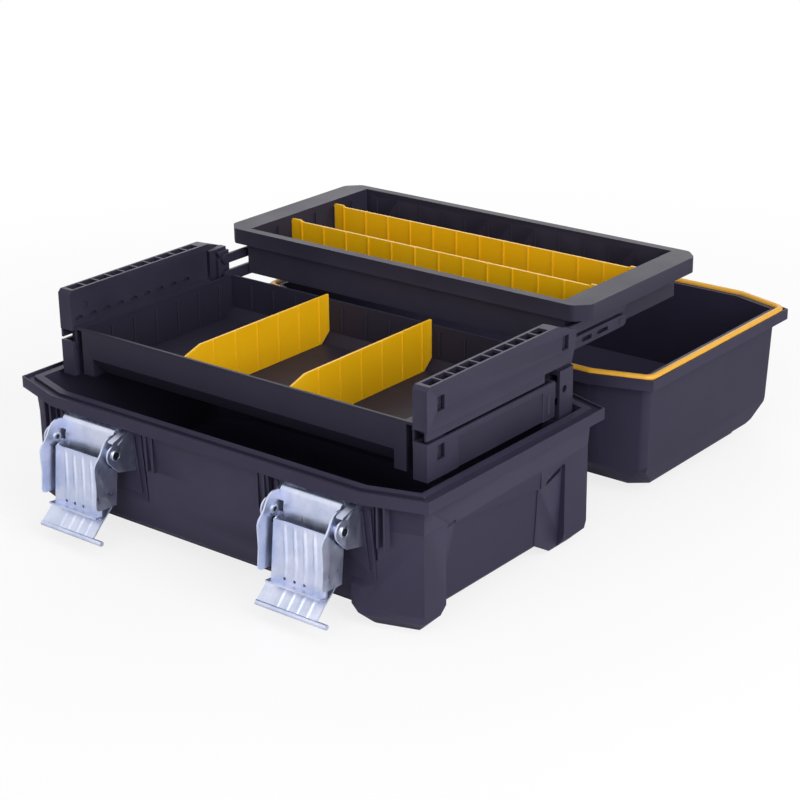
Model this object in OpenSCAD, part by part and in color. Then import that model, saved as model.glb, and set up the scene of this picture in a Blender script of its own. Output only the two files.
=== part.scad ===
// Cantilever tool box, shown open: the lid lies behind the base, the upper tray hangs over it
// and the middle tray stands above the base between its side plates.
// Millimetres. +X is the box's right end, +Y is the back, +Z is up.

/* [Box] */
// Width over the rims
body_w = 443; // [420:1:470]
// Depth over the rims
body_d = 271; // [266:1:282]
// Width of each rim's corner chamfer, along the front
chamfer_w = 55; // [45:1:65]
// Depth of each rim's corner chamfer
chamfer_d = 17; // [12:1:20]
// Height of the base's rim above the floor
base_h = 119.4; // [116:0.1:124]
// Height of the open lid's top above the floor
lid_clear = 10.4; // [9.4:0.1:12]
// Rim band height
band_h = 10; // [8:0.5:11]
// Rim overhang beyond the walls
rim_lip = 9; // [7:0.5:10]
// Base wall thickness
base_t = 6; // [5:0.25:7]
// Lid wall thickness
lid_t = 4; // [3:0.25:4.5]
// Inward lean of the walls, rim to bottom
draft = 6; // [3:0.5:8]
// Clearance under the base between its feet
lift = 12; // [8:0.5:14]
// Base floor thickness
floor_t = 4; // [3:0.5:6]
// Lid top thickness
lid_top_t = 4; // [3:0.25:4.5]
// Distance of the lid's flat top from the lid's front
lid_slope_f = 61; // [52:1:64]
// Distance of the lid's flat top from the lid's back
lid_slope_r = 34; // [28:1:44]
// Height of the lid's sloped edges
lid_slope_h = 21; // [14:1:22]

/* [Base details] */
// Distance of the corner pillars' upper ends below the rim
pillar_down = 33.4; // [24:0.2:50]
// Length of a corner pillar along the front
pillar_front = 62; // [50:1:66]
// Length of a front pillar along the side
pillar_side_f = 52; // [44:1:60]
// Length of a rear pillar along the side
pillar_side_r = 92; // [80:1:100]
// Length of the stepped-back front part of a rear pillar
pillar_step = 34; // [24:1:40]
// Depth of the recessed side panels
panel_depth = 3; // [1.5:0.25:3.5]
// Height of the slanted ends of the feet
foot_slant_h = 18; // [12:1:20]
// Length of the slanted end of a front foot
foot_slant_f = 14; // [8:1:18]
// Length of the slanted end of a rear foot
foot_slant_r = 30; // [20:1:34]
// Distance of the recessed side panels' upper edge below the rim
panel_down = 37.4; // [27:0.2:50]
// Distance of each latch from the end of the rim
latch_side = 99.5; // [92:0.5:106]
// Width of a latch bay
bay_w = 106; // [96:1:112]
// Height of a latch bay's lower edge
bay_low = 40; // [30:1:56]
// Lean-free bay face, back from the rim's front
bay_back = 13.6; // [12.5:0.1:14.5]
// Width of the upright grooves beside a latch bay
groove_w = 3; // [2:0.25:4]
// Distance of the seal from the rims' edges
seal_in = 4.8; // [4.6:0.1:6]
// Seal groove width in both rims
seal_groove_w = 7; // [6.5:0.25:8]
// Seal groove depth in the base's rim
seal_groove_d = 2.4; // [2.2:0.1:3]

/* [Hinge] */
// Gap between the two rims with the lid open
hinge_gap = 42; // [38:1:48]
// Gap between the two rims with the lid closed
rim_gap = 1.6; // [1.2:0.1:2]
// Hinge pin radius
hinge_r = 3; // [2.5:0.25:4]
// Outer radius of the hinge lugs
lug_r = 8; // [7:0.25:9]
// Distance of each hinge from the end of the rim
hinge_side = 103.5; // [90:0.5:130]
// Width of a lid hinge lug
lid_lug_w = 24; // [16:1:30]
// Width of a base hinge lug
base_lug_w = 10; // [8:0.5:14]

/* [Side plates] */
// Distance of the plates' outer faces in from the end of the rim
plate_side = 22.5; // [21.5:0.25:24]
// Thickness of a plate, skin to skin
plate_w = 14; // [13.5:0.25:14.5]
// Plate skin thickness
skin = 2.6; // [2.2:0.1:2.8]
// Distance of the plates' front ends from the rim's front
plate_front = 45; // [42:1:48]
// Length of the upper plates behind their rear pins
plate_over = 16; // [12:0.5:17]
// Height of the upper plates' pins above the base's rim
upper_pin_up = 59.6; // [58.6:0.2:60.6]
// Height of the lower plates' pins above the base's rim
lower_pin_up = 19.6; // [19.2:0.2:20.6]
// Distance of the front pins from the plates' front ends
front_pin_in = 17; // [16:0.25:18]
// Distance of the rear pins from the rim's back
rear_pin_back = 43; // [42:0.25:44]
// Plate pin radius
pin_r = 3; // [2.5:0.25:3.25]
// Upper plates above their pins
upper_above = 16.5; // [15.5:0.25:17]
// Upper plates below their pins
upper_below = 19; // [17:0.25:19.5]
// Depth of the flange below an upper plate
plate_flange = 7.4; // [6:0.2:7.8]
// Lower plates above their pins
lower_above = 11; // [9.5:0.25:11.5]
// Lower plates below their pins
lower_below = 20; // [17:0.25:20.5]

/* [Swing arms] */
// Distance of the arms' pivots behind the plates' rear pins
arm_pivot_back = 8; // [7:0.25:9]
// Height of the arms' pivots above the base's rim
arm_pivot_up = 42.6; // [41:0.2:43.6]
// Height of the level links above the arms
link_rise = 15; // [14.5:0.25:15.5]
// Length of arms and links, pivot to pivot
arm_l = 104; // [103:0.5:105]
// Half height of an arm
arm_r = 5.3; // [5:0.1:6]
// Half height of a level link
link_r = 4.4; // [4.2:0.1:5]
// Thickness of arms and links
arm_t = 3; // [2.5:0.1:3.2]

/* [Trays] */
// Gap between the tray bodies' sides and the plates' outer faces
tray_side = 22.5; // [22:0.5:29]
// Tray wall thickness
tray_t = 2.5; // [2:0.1:3]
// Middle tray front, back from the plates' front ends
mid_in = 3; // [2:0.5:4]
// Depth of the middle tray behind the plates' rear pins
mid_over = 8; // [-8:1:9]
// Height of the middle tray's rim above the base's rim
mid_up = 44.1; // [43:0.1:44.6]
// Middle tray height
mid_h = 41.5; // [36:0.5:42]
// Distance of the upper tray's front behind the plates' rear pins
up_back_off = 26; // [25:0.5:28]
// Upper tray depth over its rim
up_d = 186; // [170:1:188]
// Height of the upper tray's rim above the base's rim
up_rise = 81.6; // [80.6:0.2:82.6]
// Upper tray height
up_h = 42; // [38:0.5:44]
// Depth of the upper tray's rim skirt
skirt_h = 14; // [10:0.5:15]
// Corner chamfer of the upper tray's rim
up_corner = 12; // [9:0.5:13]
// Overhang of the upper tray's rim at front and back
up_lip = 6; // [4:0.5:8]
// Divider thickness
div_t = 2.4; // [2:0.1:3]
// Distance of the middle tray's dividers from the middle
mid_div_x = 57.5; // [40:0.5:80]
// Front divider of the upper tray, back from its front
up_div_1 = 66; // [50:1:75]
// Rear divider of the upper tray, back from its front
up_div_2 = 128; // [110:1:140]

/* [Latches] */
// Distance of the lever pins below the rim
lever_down = 31.4; // [29.4:0.2:33.4]
// Distance of the lever pins in front of the rim
lever_y = 8; // [7.5:0.25:9]
// Distance from lever pin to hook pin
hook_drop = 8.5; // [8.25:0.25:9]
// Lever pin radius
lever_pin_r = 2.5; // [2:0.25:2.75]
// Hook pin radius
hook_pin_r = 2; // [1.75:0.25:2.25]
// Sheet thickness of the latch pieces
sheet = 1.6; // [1.2:0.1:1.6]
// Half width of a lever
lever_hw = 33; // [30:0.5:34]
// Half width of a lever's lip
lip_hw = 36; // [30:0.5:38]
// Radius of a lever's rolled lip
lip_r = 2.2; // [1.6:0.1:2.5]
// Length of a lever from its pin to the bend
lever_l = 50; // [48:0.5:54]
// Forward reach of a lever's lip from its pin
lip_fwd = 12; // [6:0.5:14]
// Drop of a lever's lip below its pin
lip_drop = 75; // [70:0.5:78]
// Outward lean of a hanging lever, degrees
lever_lean = 6; // [4:0.5:8]
// Depth of a lever's side flanges at their widest, forward of its pin
flange_fwd = 14; // [10:0.5:15]
// Depth of a lever's side flanges at their lower end, forward of its pin
flange_low = 9.5; // [6:0.5:12]
// Half width of a hook
hook_hw = 28; // [22:0.5:28.5]
// Thickness of the lid's rim that a hook catches
catch_t = 4; // [3.5:0.25:5]
// Reach of a hook's claw
claw = 7; // [5:0.25:8]

/* [Handle] */
// Length of the handle's grip
grip_l = 132; // [100:1:150]
// Distance from handle pivot to grip
handle_reach = 34; // [28:1:40]
// Grip radius
grip_r = 5.6; // [4.5:0.1:5.8]

/* [Fits] */
// Radial running clearance of pins
run = 0.06; // [0.03:0.01:0.1]
// Side clearance between plates that slide past each other
side_gap = 0.8; // [0.6:0.05:1]

/* [Hidden] */
$fn = 48;
eps = 0.01;
half_w = body_w / 2;
lid_h = base_h - lid_clear;
pillar_h = base_h - pillar_down;
panel_top = base_h - panel_down;
latch_x = half_w - latch_side;
hinge_x = half_w - hinge_side;
plate_x = half_w - plate_side;
tray_x = plate_x - tray_side;
front_pin_y = plate_front + front_pin_in;
rear_pin_y = body_d - rear_pin_back;
upper_pin_z = base_h + upper_pin_up;
lower_pin_z = base_h + lower_pin_up;
arm_pivot_y = rear_pin_y + arm_pivot_back;
arm_pivot_z = base_h + arm_pivot_up;
mid_front = plate_front + mid_in;
mid_back = rear_pin_y + mid_over;
mid_top = base_h + mid_up;
up_front = rear_pin_y + up_back_off;
up_top = base_h + up_rise;
lever_z = base_h - lever_down;
chamfer_len = sqrt(chamfer_w * chamfer_w + chamfer_d * chamfer_d);
body_h = base_h - band_h;
lean = atan(draft / (body_h - lift));
hinge_y = body_d + hinge_gap / 2;
hinge_z = base_h + rim_gap / 2;
lid_y = body_d + hinge_gap;
lid_low = lid_clear;
foot_edge = 3;
foot_in = 1.5;
under_edge = 8;
lid_edge = 3;
lid_bend_h = 5;
lid_bend_f = 11;
lid_bend_r = 5;
lid_corner = 12;
bay_rib = 0.8;
bay_slope = 20;
step_depth = 2.2;
bead_r = 3;
seal_up = 3.2;
wall_in = rim_lip + base_t;
plate_in = plate_x - plate_w;
web_out = plate_x - skin - side_gap - 0.1;
web_in = plate_in + skin + side_gap + 0.1;
pin_head = 0.6;
plate_end = rear_pin_y + plate_over;
lower_end = rear_pin_y - 14;
inner_end = rear_pin_y - 14;
shelf_end = rear_pin_y - 18;
flange_back = 0.6;
flange_end = rear_pin_y - 28;
plate_cut_y = 6;
plate_cut_z = 18;
post_y = rear_pin_y - 7;
post_back = rear_pin_y + 15;
post_low = base_h - 7.4;
block_top = upper_pin_z - 23;
web_top = upper_pin_z + 7.5;
arm_post_y = arm_pivot_y - 7;
arm_post_top = arm_pivot_z + link_rise + 7;
ledge_h = 20;
ledge_in = plate_in - 1.5;
screw_r = 2;
screw_head_r = 4;
screw_head_h = 2.6;
screw_up = 16;
screw_seat = 6;
screw_1_y = post_y + 6;
screw_2_y = post_y + 17;
screw_hole = 11;
gusset_w = 14;
lug_drop = 26;
lug_root = 3.6;
rib_x = [-18, -6, 6, 18];
rib_r = 1.2;
rib_sunk = 0.7;
rib_end = 5;
screw_x = plate_x - plate_w / 2;
link_out = plate_in - 0.6;
link_in = link_out - arm_t;
arm_out = link_in - side_gap;
arm_in = arm_out - arm_t;
arm_tray_y = arm_pivot_y + arm_l;
link_z = arm_pivot_z + link_rise;
mid_floor = mid_top - mid_h;
ear_half = 7.5;
ear_floor_z = (upper_pin_z - upper_below + lower_pin_z + lower_above) / 2;
ear_floor_t = 3;
up_back = up_front + up_d;
up_floor = up_top - up_h;
lever_in = 6;
bay_pad = 6;
bracket_gap = 3.6;
ear_in = lever_hw + bracket_gap;
bracket_low = lever_z - 20;
bracket_top = lever_z + 17;
rivet_r = 2;
rivet_z_up = lever_z + 10;
rivet_z_low = lever_z - 13;
rivet_x = 20;
catch_gap = 0.4;
hook_len = 2 * hinge_z - base_h + catch_t + catch_gap - (lever_z - hook_drop);
hook_in = 3.2;
lever_top = 15;
roll_r = 2.2;
roll_hw = lever_hw - 2;
flange_l = 46;
catch_side = 2;
lip_y = -lever_y - lip_fwd * cos(lever_lean) - lip_drop * sin(lever_lean);
front_y = lip_y - lip_r;
back_y = lid_y + body_d;
mid_y = (front_y + back_y) / 2;
handle_mid = lid_y + body_d / 2;
handle_z = grip_r + 0.6;
handle_y = handle_mid - handle_reach / 2;
handle_w = 12;
recess_d = 3;
recess_x = grip_l / 2 + 18;
recess_y = handle_reach / 2 + 10;
handle_pin_r = 2.5;
handle_lug = 8;

base_color = [0.16, 0.16, 0.19];
tray_color = [0.2, 0.2, 0.23];
plate_color = [0.24, 0.24, 0.28];
yellow = [0.9, 0.7, 0.02];
amber = [0.85, 0.6, 0.2];
steel = [0.75, 0.78, 0.84];
bright = [0.82, 0.84, 0.88];

// half width of the rim outline's front edge when inset by d
function front_x(d) = half_w - chamfer_w + d * (chamfer_w - chamfer_len) / chamfer_d;

// start of the rim outline's side edge when inset by d
function side_y(d) = chamfer_d + d * (chamfer_len - chamfer_d) / chamfer_w;

// the rim outline, chamfered at all corners, inset by d
module outline(d) {
    polygon([
        [-front_x(d), d], [front_x(d), d],
        [half_w - d, side_y(d)], [half_w - d, body_d - side_y(d)],
        [front_x(d), body_d - d], [-front_x(d), body_d - d],
        [-half_w + d, body_d - side_y(d)], [-half_w + d, side_y(d)]
    ]);
}

module slab(z, d) {
    translate([0, 0, z])
        linear_extrude(eps)
            outline(d);
}

// extrude a Y-Z profile along X from x0 to x1
module along_x(x0, x1) {
    translate([x0, 0, 0])
        rotate([90, 0, 90])
            linear_extrude(x1 - x0)
                children();
}

module rod(r, x0, x1, y, z) {
    translate([x0, y, z])
        rotate([0, 90, 0])
            cylinder(r = r, h = x1 - x0);
}

module box(x0, x1, y0, y1, z0, z1) {
    translate([x0, y0, z0])
        cube([x1 - x0, y1 - y0, z1 - z0]);
}

module both_sides() {
    children();
    mirror([1, 0, 0])
        children();
}

// move everything so that the origin is under the middle of the open box
module placed() {
    translate([0, -mid_y, 0])
        children();
}

// ---- base ----

module tub_body() {
    hull() {
        slab(body_h, rim_lip);
        slab(lift + under_edge, rim_lip + draft);
        slab(lift, rim_lip + draft + under_edge);
    }
    translate([0, 0, body_h])
        linear_extrude(band_h)
            outline(0);
    corner_pillars();
    bay_ribs();
}

module tub_cavity() {
    hull() {
        slab(base_h + 1, wall_in);
        slab(lift + floor_t, wall_in + draft + 2);
    }
}

module corner_pillars() {
    both_sides() {
        pillar(0, pillar_side_f, foot_slant_f, 0);
        pillar(body_d - pillar_side_r, body_d, 0, foot_slant_r);
    }
}

// a right corner pillar between y0 and y1, whose foot slants in at its ends
module pillar(y0, y1, slant_back, slant_front) {
    x0 = half_w - rim_lip - pillar_front;
    translate([0, 0, foot_slant_h])
        linear_extrude(pillar_h - foot_slant_h)
            pillar_plan(foot_in, x0, y0, y1);
    hull() {
        translate([0, 0, foot_slant_h])
            linear_extrude(eps)
                pillar_plan(foot_in, x0, y0, y1);
        linear_extrude(eps)
            pillar_plan(foot_in + foot_edge, x0 + foot_slant_f, y0 + slant_front, y1 - slant_back);
    }
}

module pillar_plan(inset, x0, y0, y1) {
    intersection() {
        outline(rim_lip + inset);
        translate([x0, y0])
            square([half_w - x0, y1 - y0]);
    }
}

module side_panels() {
    panel_end = body_d - pillar_side_r;
    side_cut(panel_depth)
        polygon([
            [pillar_side_f, 0], [panel_end, 0], [panel_end, panel_top - 12],
            [pillar_side_f + 16, panel_top + 1], [pillar_side_f, panel_top - 2]
        ]);
    side_cut(step_depth)
        polygon([
            [panel_end - eps, 0], [panel_end + pillar_step, 0], [panel_end + pillar_step, panel_top - 1],
            [panel_end + 10, panel_top - 7], [panel_end - eps, panel_top - 12]
        ]);
}

// cut a Y-Z profile into both leaning sides to a depth
module side_cut(depth) {
    both_sides()
        translate([half_w - rim_lip, 0, body_h])
            rotate([0, lean, 0])
                translate([-depth, 0, -body_h])
                    along_x(0, depth + 12)
                        children();
}

module bay_cut() {
    both_sides() {
        along_x(latch_x - bay_w / 2, latch_x + bay_w / 2)
            polygon([[-1, bay_low - bay_slope], [bay_back, bay_low], [bay_back, body_h], [-1, body_h]]);
        for (s = [-1, 1])
            translate([s * (bay_w / 2 - groove_w / 2), 0, 0])
                box(latch_x - groove_w / 2, latch_x + groove_w / 2, 0, bay_back + 2, bay_low + 20, body_h - 4);
    }
}

module bay_ribs() {
    both_sides()
        for (s = [-1, 1], k = [4, 11])
            box(latch_x + s * (bay_w / 2 + k) - 1, latch_x + s * (bay_w / 2 + k) + 1,
                rim_lip - bay_rib, bay_back, body_h - 36, body_h + 1);
}

module bay_pads() {
    both_sides()
        box(latch_x - bay_w / 2 - 6, latch_x + bay_w / 2 + 6, bay_back, bay_back + bay_pad, bay_low - 4, body_h);
}

module hinge_profile(dir) {
    difference() {
        union() {
            translate([hinge_y, hinge_z])
                circle(r = lug_r);
            polygon([
                [hinge_y + dir * (hinge_gap / 2 + rim_lip + 2), base_h - lug_drop],
                [hinge_y + dir * (hinge_gap / 2 + rim_lip + 2), base_h - lug_root],
                [hinge_y, base_h - lug_root],
                [hinge_y, hinge_z - lug_r]
            ]);
        }
        translate([hinge_y, hinge_z])
            circle(r = hinge_r + run);
    }
}

module base_lugs() {
    both_sides()
        for (s = [-1, 1])
            along_x(hinge_x + s * (lid_lug_w + base_lug_w + 2 * side_gap) / 2 - base_lug_w / 2,
                    hinge_x + s * (lid_lug_w + base_lug_w + 2 * side_gap) / 2 + base_lug_w / 2)
                hinge_profile(-1);
}

module seal_track(z0, z1, w) {
    translate([0, 0, z0])
        linear_extrude(z1 - z0)
            difference() {
                outline(seal_in - w / 2);
                outline(seal_in + w / 2);
            }
}

module post_ledges() {
    both_sides()
        difference() {
            union() {
                box(ledge_in, half_w - wall_in, post_y - 2, post_back, post_low - ledge_h, post_low);
                box(half_w - wall_in - gusset_w - 2, half_w - wall_in - 2, post_y - 2, post_back,
                    post_low - ledge_h - gusset_w, post_low - ledge_h);
            }
            for (y = [screw_1_y, screw_2_y]) {
                translate([screw_x, y, post_low - ledge_h - gusset_w - 1])
                    cylinder(r = screw_r + 0.2, h = ledge_h + gusset_w + 2);
                translate([screw_x, y, post_low - ledge_h - gusset_w - 1])
                    cylinder(r = screw_head_r + 0.4, h = ledge_h + gusset_w + 1 - screw_seat);
            }
        }
}

module base_tub() {
    color(base_color)
        placed() {
            difference() {
                tub_body();
                side_panels();
                bay_cut();
                difference() {
                    tub_cavity();
                    bay_pads();
                    post_ledges();
                }
                seal_track(base_h - seal_groove_d, base_h + 1, seal_groove_w);
            }
            base_lugs();
        }
}

module post_shape() {
    // block beside the lower plate, with a slot for its tongue
    difference() {
        translate([0, 0, post_low])
            linear_extrude(block_top - post_low)
                polygon([
                    [plate_in, post_y], [plate_x, post_y], [plate_x, post_back - 3],
                    [plate_x - 5, post_back], [plate_in, post_back]
                ]);
        box(plate_in + skin, plate_x - skin, post_y - 1, rear_pin_y + 9, lower_pin_z - 13, lower_pin_z + 13);
    }
    box(web_in, web_out, post_y, post_back, block_top - eps, web_top);
    box(plate_in, web_out, arm_post_y, post_back, block_top - eps, arm_post_top);
}

module rear_post() {
    difference() {
        post_shape();
        rod(pin_r + run, web_in - 4, plate_x + 1, rear_pin_y, upper_pin_z);
        rod(pin_r + run, plate_in + 1, plate_x + 1, rear_pin_y, lower_pin_z);
        rod(pin_r + run, plate_in - 1, web_out - 3, arm_pivot_y, arm_pivot_z);
        rod(pin_r + run, plate_in - 1, web_out - 3, arm_pivot_y, link_z);
        for (y = [screw_1_y, screw_2_y])
            translate([screw_x, y, post_low - 1])
                cylinder(r = screw_r + run, h = screw_hole);
    }
}

module rear_post_right() {
    color(plate_color)
        placed()
            rear_post();
}

module rear_post_left() {
    color(plate_color)
        placed()
            mirror([1, 0, 0])
                rear_post();
}

module post_screws() {
    color(steel)
        placed()
            both_sides()
                for (y = [screw_1_y, screw_2_y])
                    translate([screw_x, y, post_low - screw_seat - screw_head_h]) {
                        cylinder(r = screw_head_r, h = screw_head_h);
                        cylinder(r = screw_r, h = screw_up);
                    }
}

module plate_pins_rear() {
    color(plate_color)
        placed()
            both_sides() {
                rod(pin_r, web_in + 0.5, plate_x - pin_head, rear_pin_y, upper_pin_z);
                rod(pin_r, plate_in + 1, plate_x - pin_head, rear_pin_y, lower_pin_z);
            }
}

module arm_pivot_pins() {
    color(plate_color)
        placed()
            both_sides() {
                rod(pin_r, arm_in - pin_head, web_out - 3, arm_pivot_y, arm_pivot_z);
                rod(pin_r, link_in - 0.5, web_out - 3, arm_pivot_y, link_z);
            }
}

module hinge_pins() {
    color(steel)
        placed()
            both_sides()
                rod(hinge_r, hinge_x - lid_lug_w / 2 - base_lug_w - side_gap,
                    hinge_x + lid_lug_w / 2 + base_lug_w + side_gap, hinge_y, hinge_z);
}

// ---- side plates ----

module upper_profile() {
    z1 = upper_pin_z + upper_above;
    z0 = upper_pin_z - upper_below;
    polygon([
        [plate_front, z0], [plate_end - plate_cut_y, z0], [plate_end, z0 + plate_cut_z], [plate_end, z1 - 10],
        [rear_pin_y - 12, z1], [plate_front + 3, z1], [plate_front, z1 - 3]
    ]);
}

module upper_plate() {
    z1 = upper_pin_z + upper_above;
    z0 = upper_pin_z - upper_below;
    box(plate_x - skin, plate_x - flange_back, plate_front, flange_end, z0 - plate_flange, z0 + 1);
    difference() {
        along_x(plate_in, plate_x)
            upper_profile();
        // hollow, open below and at the back
        along_x(plate_in + skin, plate_x - skin)
            polygon([
                [plate_front + skin, z0 - 1], [plate_end + 1, z0 - 1], [plate_end + 1, z1],
                [rear_pin_y - 4, z1 + 4], [rear_pin_y - 4, z1 - 5.5],
                [rear_pin_y - 12, z1 - skin], [plate_front + skin, z1 - skin]
            ]);
        // the inner skin stops short of the post
        box(plate_in - 1, plate_x - skin, inner_end, plate_end + 1, z0 - 1, z1 - 5.5);
        box(plate_in - 1, plate_x - skin, rear_pin_y - 4, plate_end + 1, z0 - 1, z1 + 1);
        rod(pin_r + run, plate_in - 1, plate_x + 1, front_pin_y, upper_pin_z);
        rod(pin_r + run, plate_in - 1, plate_x + 1, rear_pin_y, upper_pin_z);
    }
}

module lower_plate() {
    z1 = lower_pin_z + lower_above;
    z0 = lower_pin_z - lower_below;
    difference() {
        union() {
            difference() {
                box(plate_in, plate_x, plate_front, lower_end, z0, z1);
                box(plate_in + skin, plate_x - skin, plate_front + skin, lower_end - skin, z0 + skin, z1 + 1);
            }
            box(web_in, web_out, lower_end - skin, rear_pin_y, lower_pin_z - 7, lower_pin_z + 7);
            rod(7, web_in, web_out, rear_pin_y, lower_pin_z);
        }
        rod(pin_r + run, plate_in - 1, plate_x + 1, front_pin_y, lower_pin_z);
        rod(pin_r + run, plate_in - 1, plate_x + 1, rear_pin_y, lower_pin_z);
    }
}

module upper_plate_right() {
    color(plate_color)
        placed()
            upper_plate();
}

module upper_plate_left() {
    color(plate_color)
        placed()
            mirror([1, 0, 0])
                upper_plate();
}

module lower_plate_right() {
    color(plate_color)
        placed()
            lower_plate();
}

module lower_plate_left() {
    color(plate_color)
        placed()
            mirror([1, 0, 0])
                lower_plate();
}

// ---- swing arms and level links ----

module bar(x0, x1, r, z, tail, slots) {
    difference() {
        union() {
            rod(r, x0, x1, arm_pivot_y, z);
            rod(r, x0, x1, arm_tray_y + tail, z);
            box(x0, x1, arm_pivot_y, arm_tray_y + tail, z - r, z + r);
        }
        rod(pin_r + run, x0 - 1, x1 + 1, arm_pivot_y, z);
        rod(pin_r + run, x0 - 1, x1 + 1, arm_tray_y, z);
        for (s = slots)
            box(x0 - 1, x1 + 1, arm_tray_y - s - 8, arm_tray_y - s + 8, z - 1.8, z + 1.8);
    }
}

module swing_arm_right() {
    color(plate_color)
        placed()
            bar(arm_in, arm_out, arm_r, arm_pivot_z, 3.5, [28]);
}

module swing_arm_left() {
    color(plate_color)
        placed()
            mirror([1, 0, 0])
                bar(arm_in, arm_out, arm_r, arm_pivot_z, 3.5, [28]);
}

module level_link_right() {
    color(plate_color)
        placed()
            bar(link_in, link_out, link_r, link_z, 0, []);
}

module level_link_left() {
    color(plate_color)
        placed()
            mirror([1, 0, 0])
                bar(link_in, link_out, link_r, link_z, 0, []);
}

// ---- middle tray ----

module mid_profile(t) {
    polygon([
        [mid_front + t, mid_top + t], [mid_front + t, mid_floor + 16],
        [mid_front + 14 + t / 2, mid_floor + t], [mid_back - 10 - t / 2, mid_floor + t],
        [mid_back - t, mid_floor + 10 + t / 2], [mid_back - t, mid_top + t]
    ]);
}

module middle_tray() {
    color(tray_color)
        placed()
            difference() {
                union() {
                    difference() {
                        union() {
                            along_x(-tray_x, tray_x)
                                polygon([
                                    [mid_front, mid_top], [mid_front, mid_floor + 16],
                                    [mid_front + 14, mid_floor], [mid_back - 10, mid_floor],
                                    [mid_back, mid_floor + 10], [mid_back, mid_top]
                                ]);
                            both_sides()
                                box(tray_x - 12, tray_x, mid_front, mid_front + 14, mid_floor, mid_top);
                        }
                        along_x(-tray_x + tray_t, tray_x - tray_t)
                            mid_profile(tray_t);
                    }
                    both_sides() {
                        // side shelf and skirt inside the plates
                        box(tray_x - tray_t, link_out, mid_front, shelf_end, mid_top - tray_t, mid_top);
                        box(link_out - 2, link_out, mid_front, shelf_end, mid_top - 18, mid_top);
                        // ear that carries the two front pins
                        box(tray_x - 1, web_out, front_pin_y - ear_half, front_pin_y + ear_half,
                            ear_floor_z - ear_floor_t / 2, ear_floor_z + ear_floor_t / 2);
                        box(web_in, web_out, front_pin_y - ear_half, front_pin_y + ear_half,
                            lower_pin_z - 7.5, upper_pin_z + 7.5);
                    }
                }
                both_sides()
                    for (z = [upper_pin_z, lower_pin_z])
                        rod(pin_r + run, web_in - 1, web_out + 1, front_pin_y, z);
            }
}

module plate_pins_front() {
    color(plate_color)
        placed()
            both_sides()
                for (z = [upper_pin_z, lower_pin_z])
                    rod(pin_r, plate_in + pin_head, plate_x - pin_head, front_pin_y, z);
}

module mid_divider(x) {
    placed()
        along_x(x - div_t / 2, x + div_t / 2)
            polygon([
                [mid_front + tray_t + 0.2, mid_top - 1], [mid_front + tray_t + 0.2, mid_floor + 17],
                [mid_front + 14 + tray_t, mid_floor + tray_t], [mid_back - 11 - tray_t, mid_floor + tray_t],
                [mid_back - tray_t - 0.2, mid_floor + 12], [mid_back - tray_t - 0.2, mid_top + 5],
                [mid_front + 22, mid_top + 5]
            ]);
}

module middle_divider_left() {
    color(yellow)
        mid_divider(-mid_div_x);
}

module middle_divider_right() {
    color(yellow)
        mid_divider(mid_div_x);
}

// ---- upper tray ----

module up_plan(inset, corner) {
    x = plate_x - inset;
    y0 = up_front + inset;
    y1 = up_back - inset;
    polygon([
        [-x + corner, y0], [x - corner, y0], [x, y0 + corner], [x, y1 - corner],
        [x - corner, y1], [-x + corner, y1], [-x, y1 - corner], [-x, y0 + corner]
    ]);
}

module up_box(inset, z0, z1) {
    box(-tray_x + inset, tray_x - inset, up_front + up_lip + inset, up_back - up_lip - inset, z0, z1);
}

module upper_tray() {
    lug = arm_r + 0.7;
    color(tray_color)
        placed()
            difference() {
                union() {
                    difference() {
                        translate([0, 0, up_top - skirt_h])
                            linear_extrude(skirt_h)
                                up_plan(0, up_corner);
                        translate([0, 0, up_top - skirt_h - 1])
                            linear_extrude(skirt_h + 1 - tray_t)
                                up_plan(tray_t, up_corner);
                    }
                    up_box(0, up_floor, up_top);
                    // bosses for the arm pins
                    both_sides() {
                        rod(lug, tray_x - 7, tray_x, arm_tray_y, arm_pivot_z);
                        box(tray_x - 7, tray_x, arm_tray_y - lug, arm_tray_y + lug, arm_pivot_z, up_floor + 10);
                    }
                }
                difference() {
                    up_box(tray_t, up_floor + tray_t, up_top + 1);
                    both_sides()
                        box(tray_x - 7, tray_x, arm_tray_y - lug, arm_tray_y + lug, up_floor, link_z + lug);
                }
                both_sides()
                    for (z = [arm_pivot_z, link_z])
                        rod(pin_r + run, tray_x - 6, tray_x + 1, arm_tray_y, z);
            }
}

module arm_pins_front() {
    color(plate_color)
        placed()
            both_sides() {
                rod(pin_r, tray_x - 6, arm_out + pin_head, arm_tray_y, arm_pivot_z);
                rod(pin_r, tray_x - 6, link_out - 0.1, arm_tray_y, link_z);
            }
}

module up_divider(y) {
    placed()
        box(-tray_x + tray_t + 0.2, tray_x - tray_t - 0.2, y - div_t / 2, y + div_t / 2,
            up_floor + tray_t, up_top - 5);
}

module upper_divider_front() {
    color(yellow)
        up_divider(up_front + up_div_1);
}

module upper_divider_rear() {
    color(yellow)
        up_divider(up_front + up_div_2);
}

// ---- lid ----

module lid_slab(z, d) {
    translate([0, lid_y, z])
        linear_extrude(eps)
            outline(d);
}

// a slab that stops short of the lid's back and front, with cut corners at the back
module lid_top_slab(z, d, rear, front) {
    x = half_w - d;
    x1 = x - 1.25 * lid_corner;
    translate([0, lid_y, z])
        linear_extrude(eps)
            polygon([
                [-x, rear + lid_corner], [-x1, rear], [x1, rear], [x, rear + lid_corner],
                [x, body_d - front], [-x, body_d - front]
            ]);
}

module lid_solid(t, low, top) {
    side = rim_lip + t + draft;
    rear = lid_slope_r + t;
    front = lid_slope_f + t;
    hull() {
        lid_slab(top, rim_lip + t);
        lid_slab(lid_low + lid_slope_h + low, rim_lip + t + draft / 2);
        lid_top_slab(lid_low + low + lid_bend_h, side, rear - lid_bend_r, front - lid_bend_f);
        lid_top_slab(lid_low + low, side + lid_edge, rear, front);
    }
}

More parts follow.
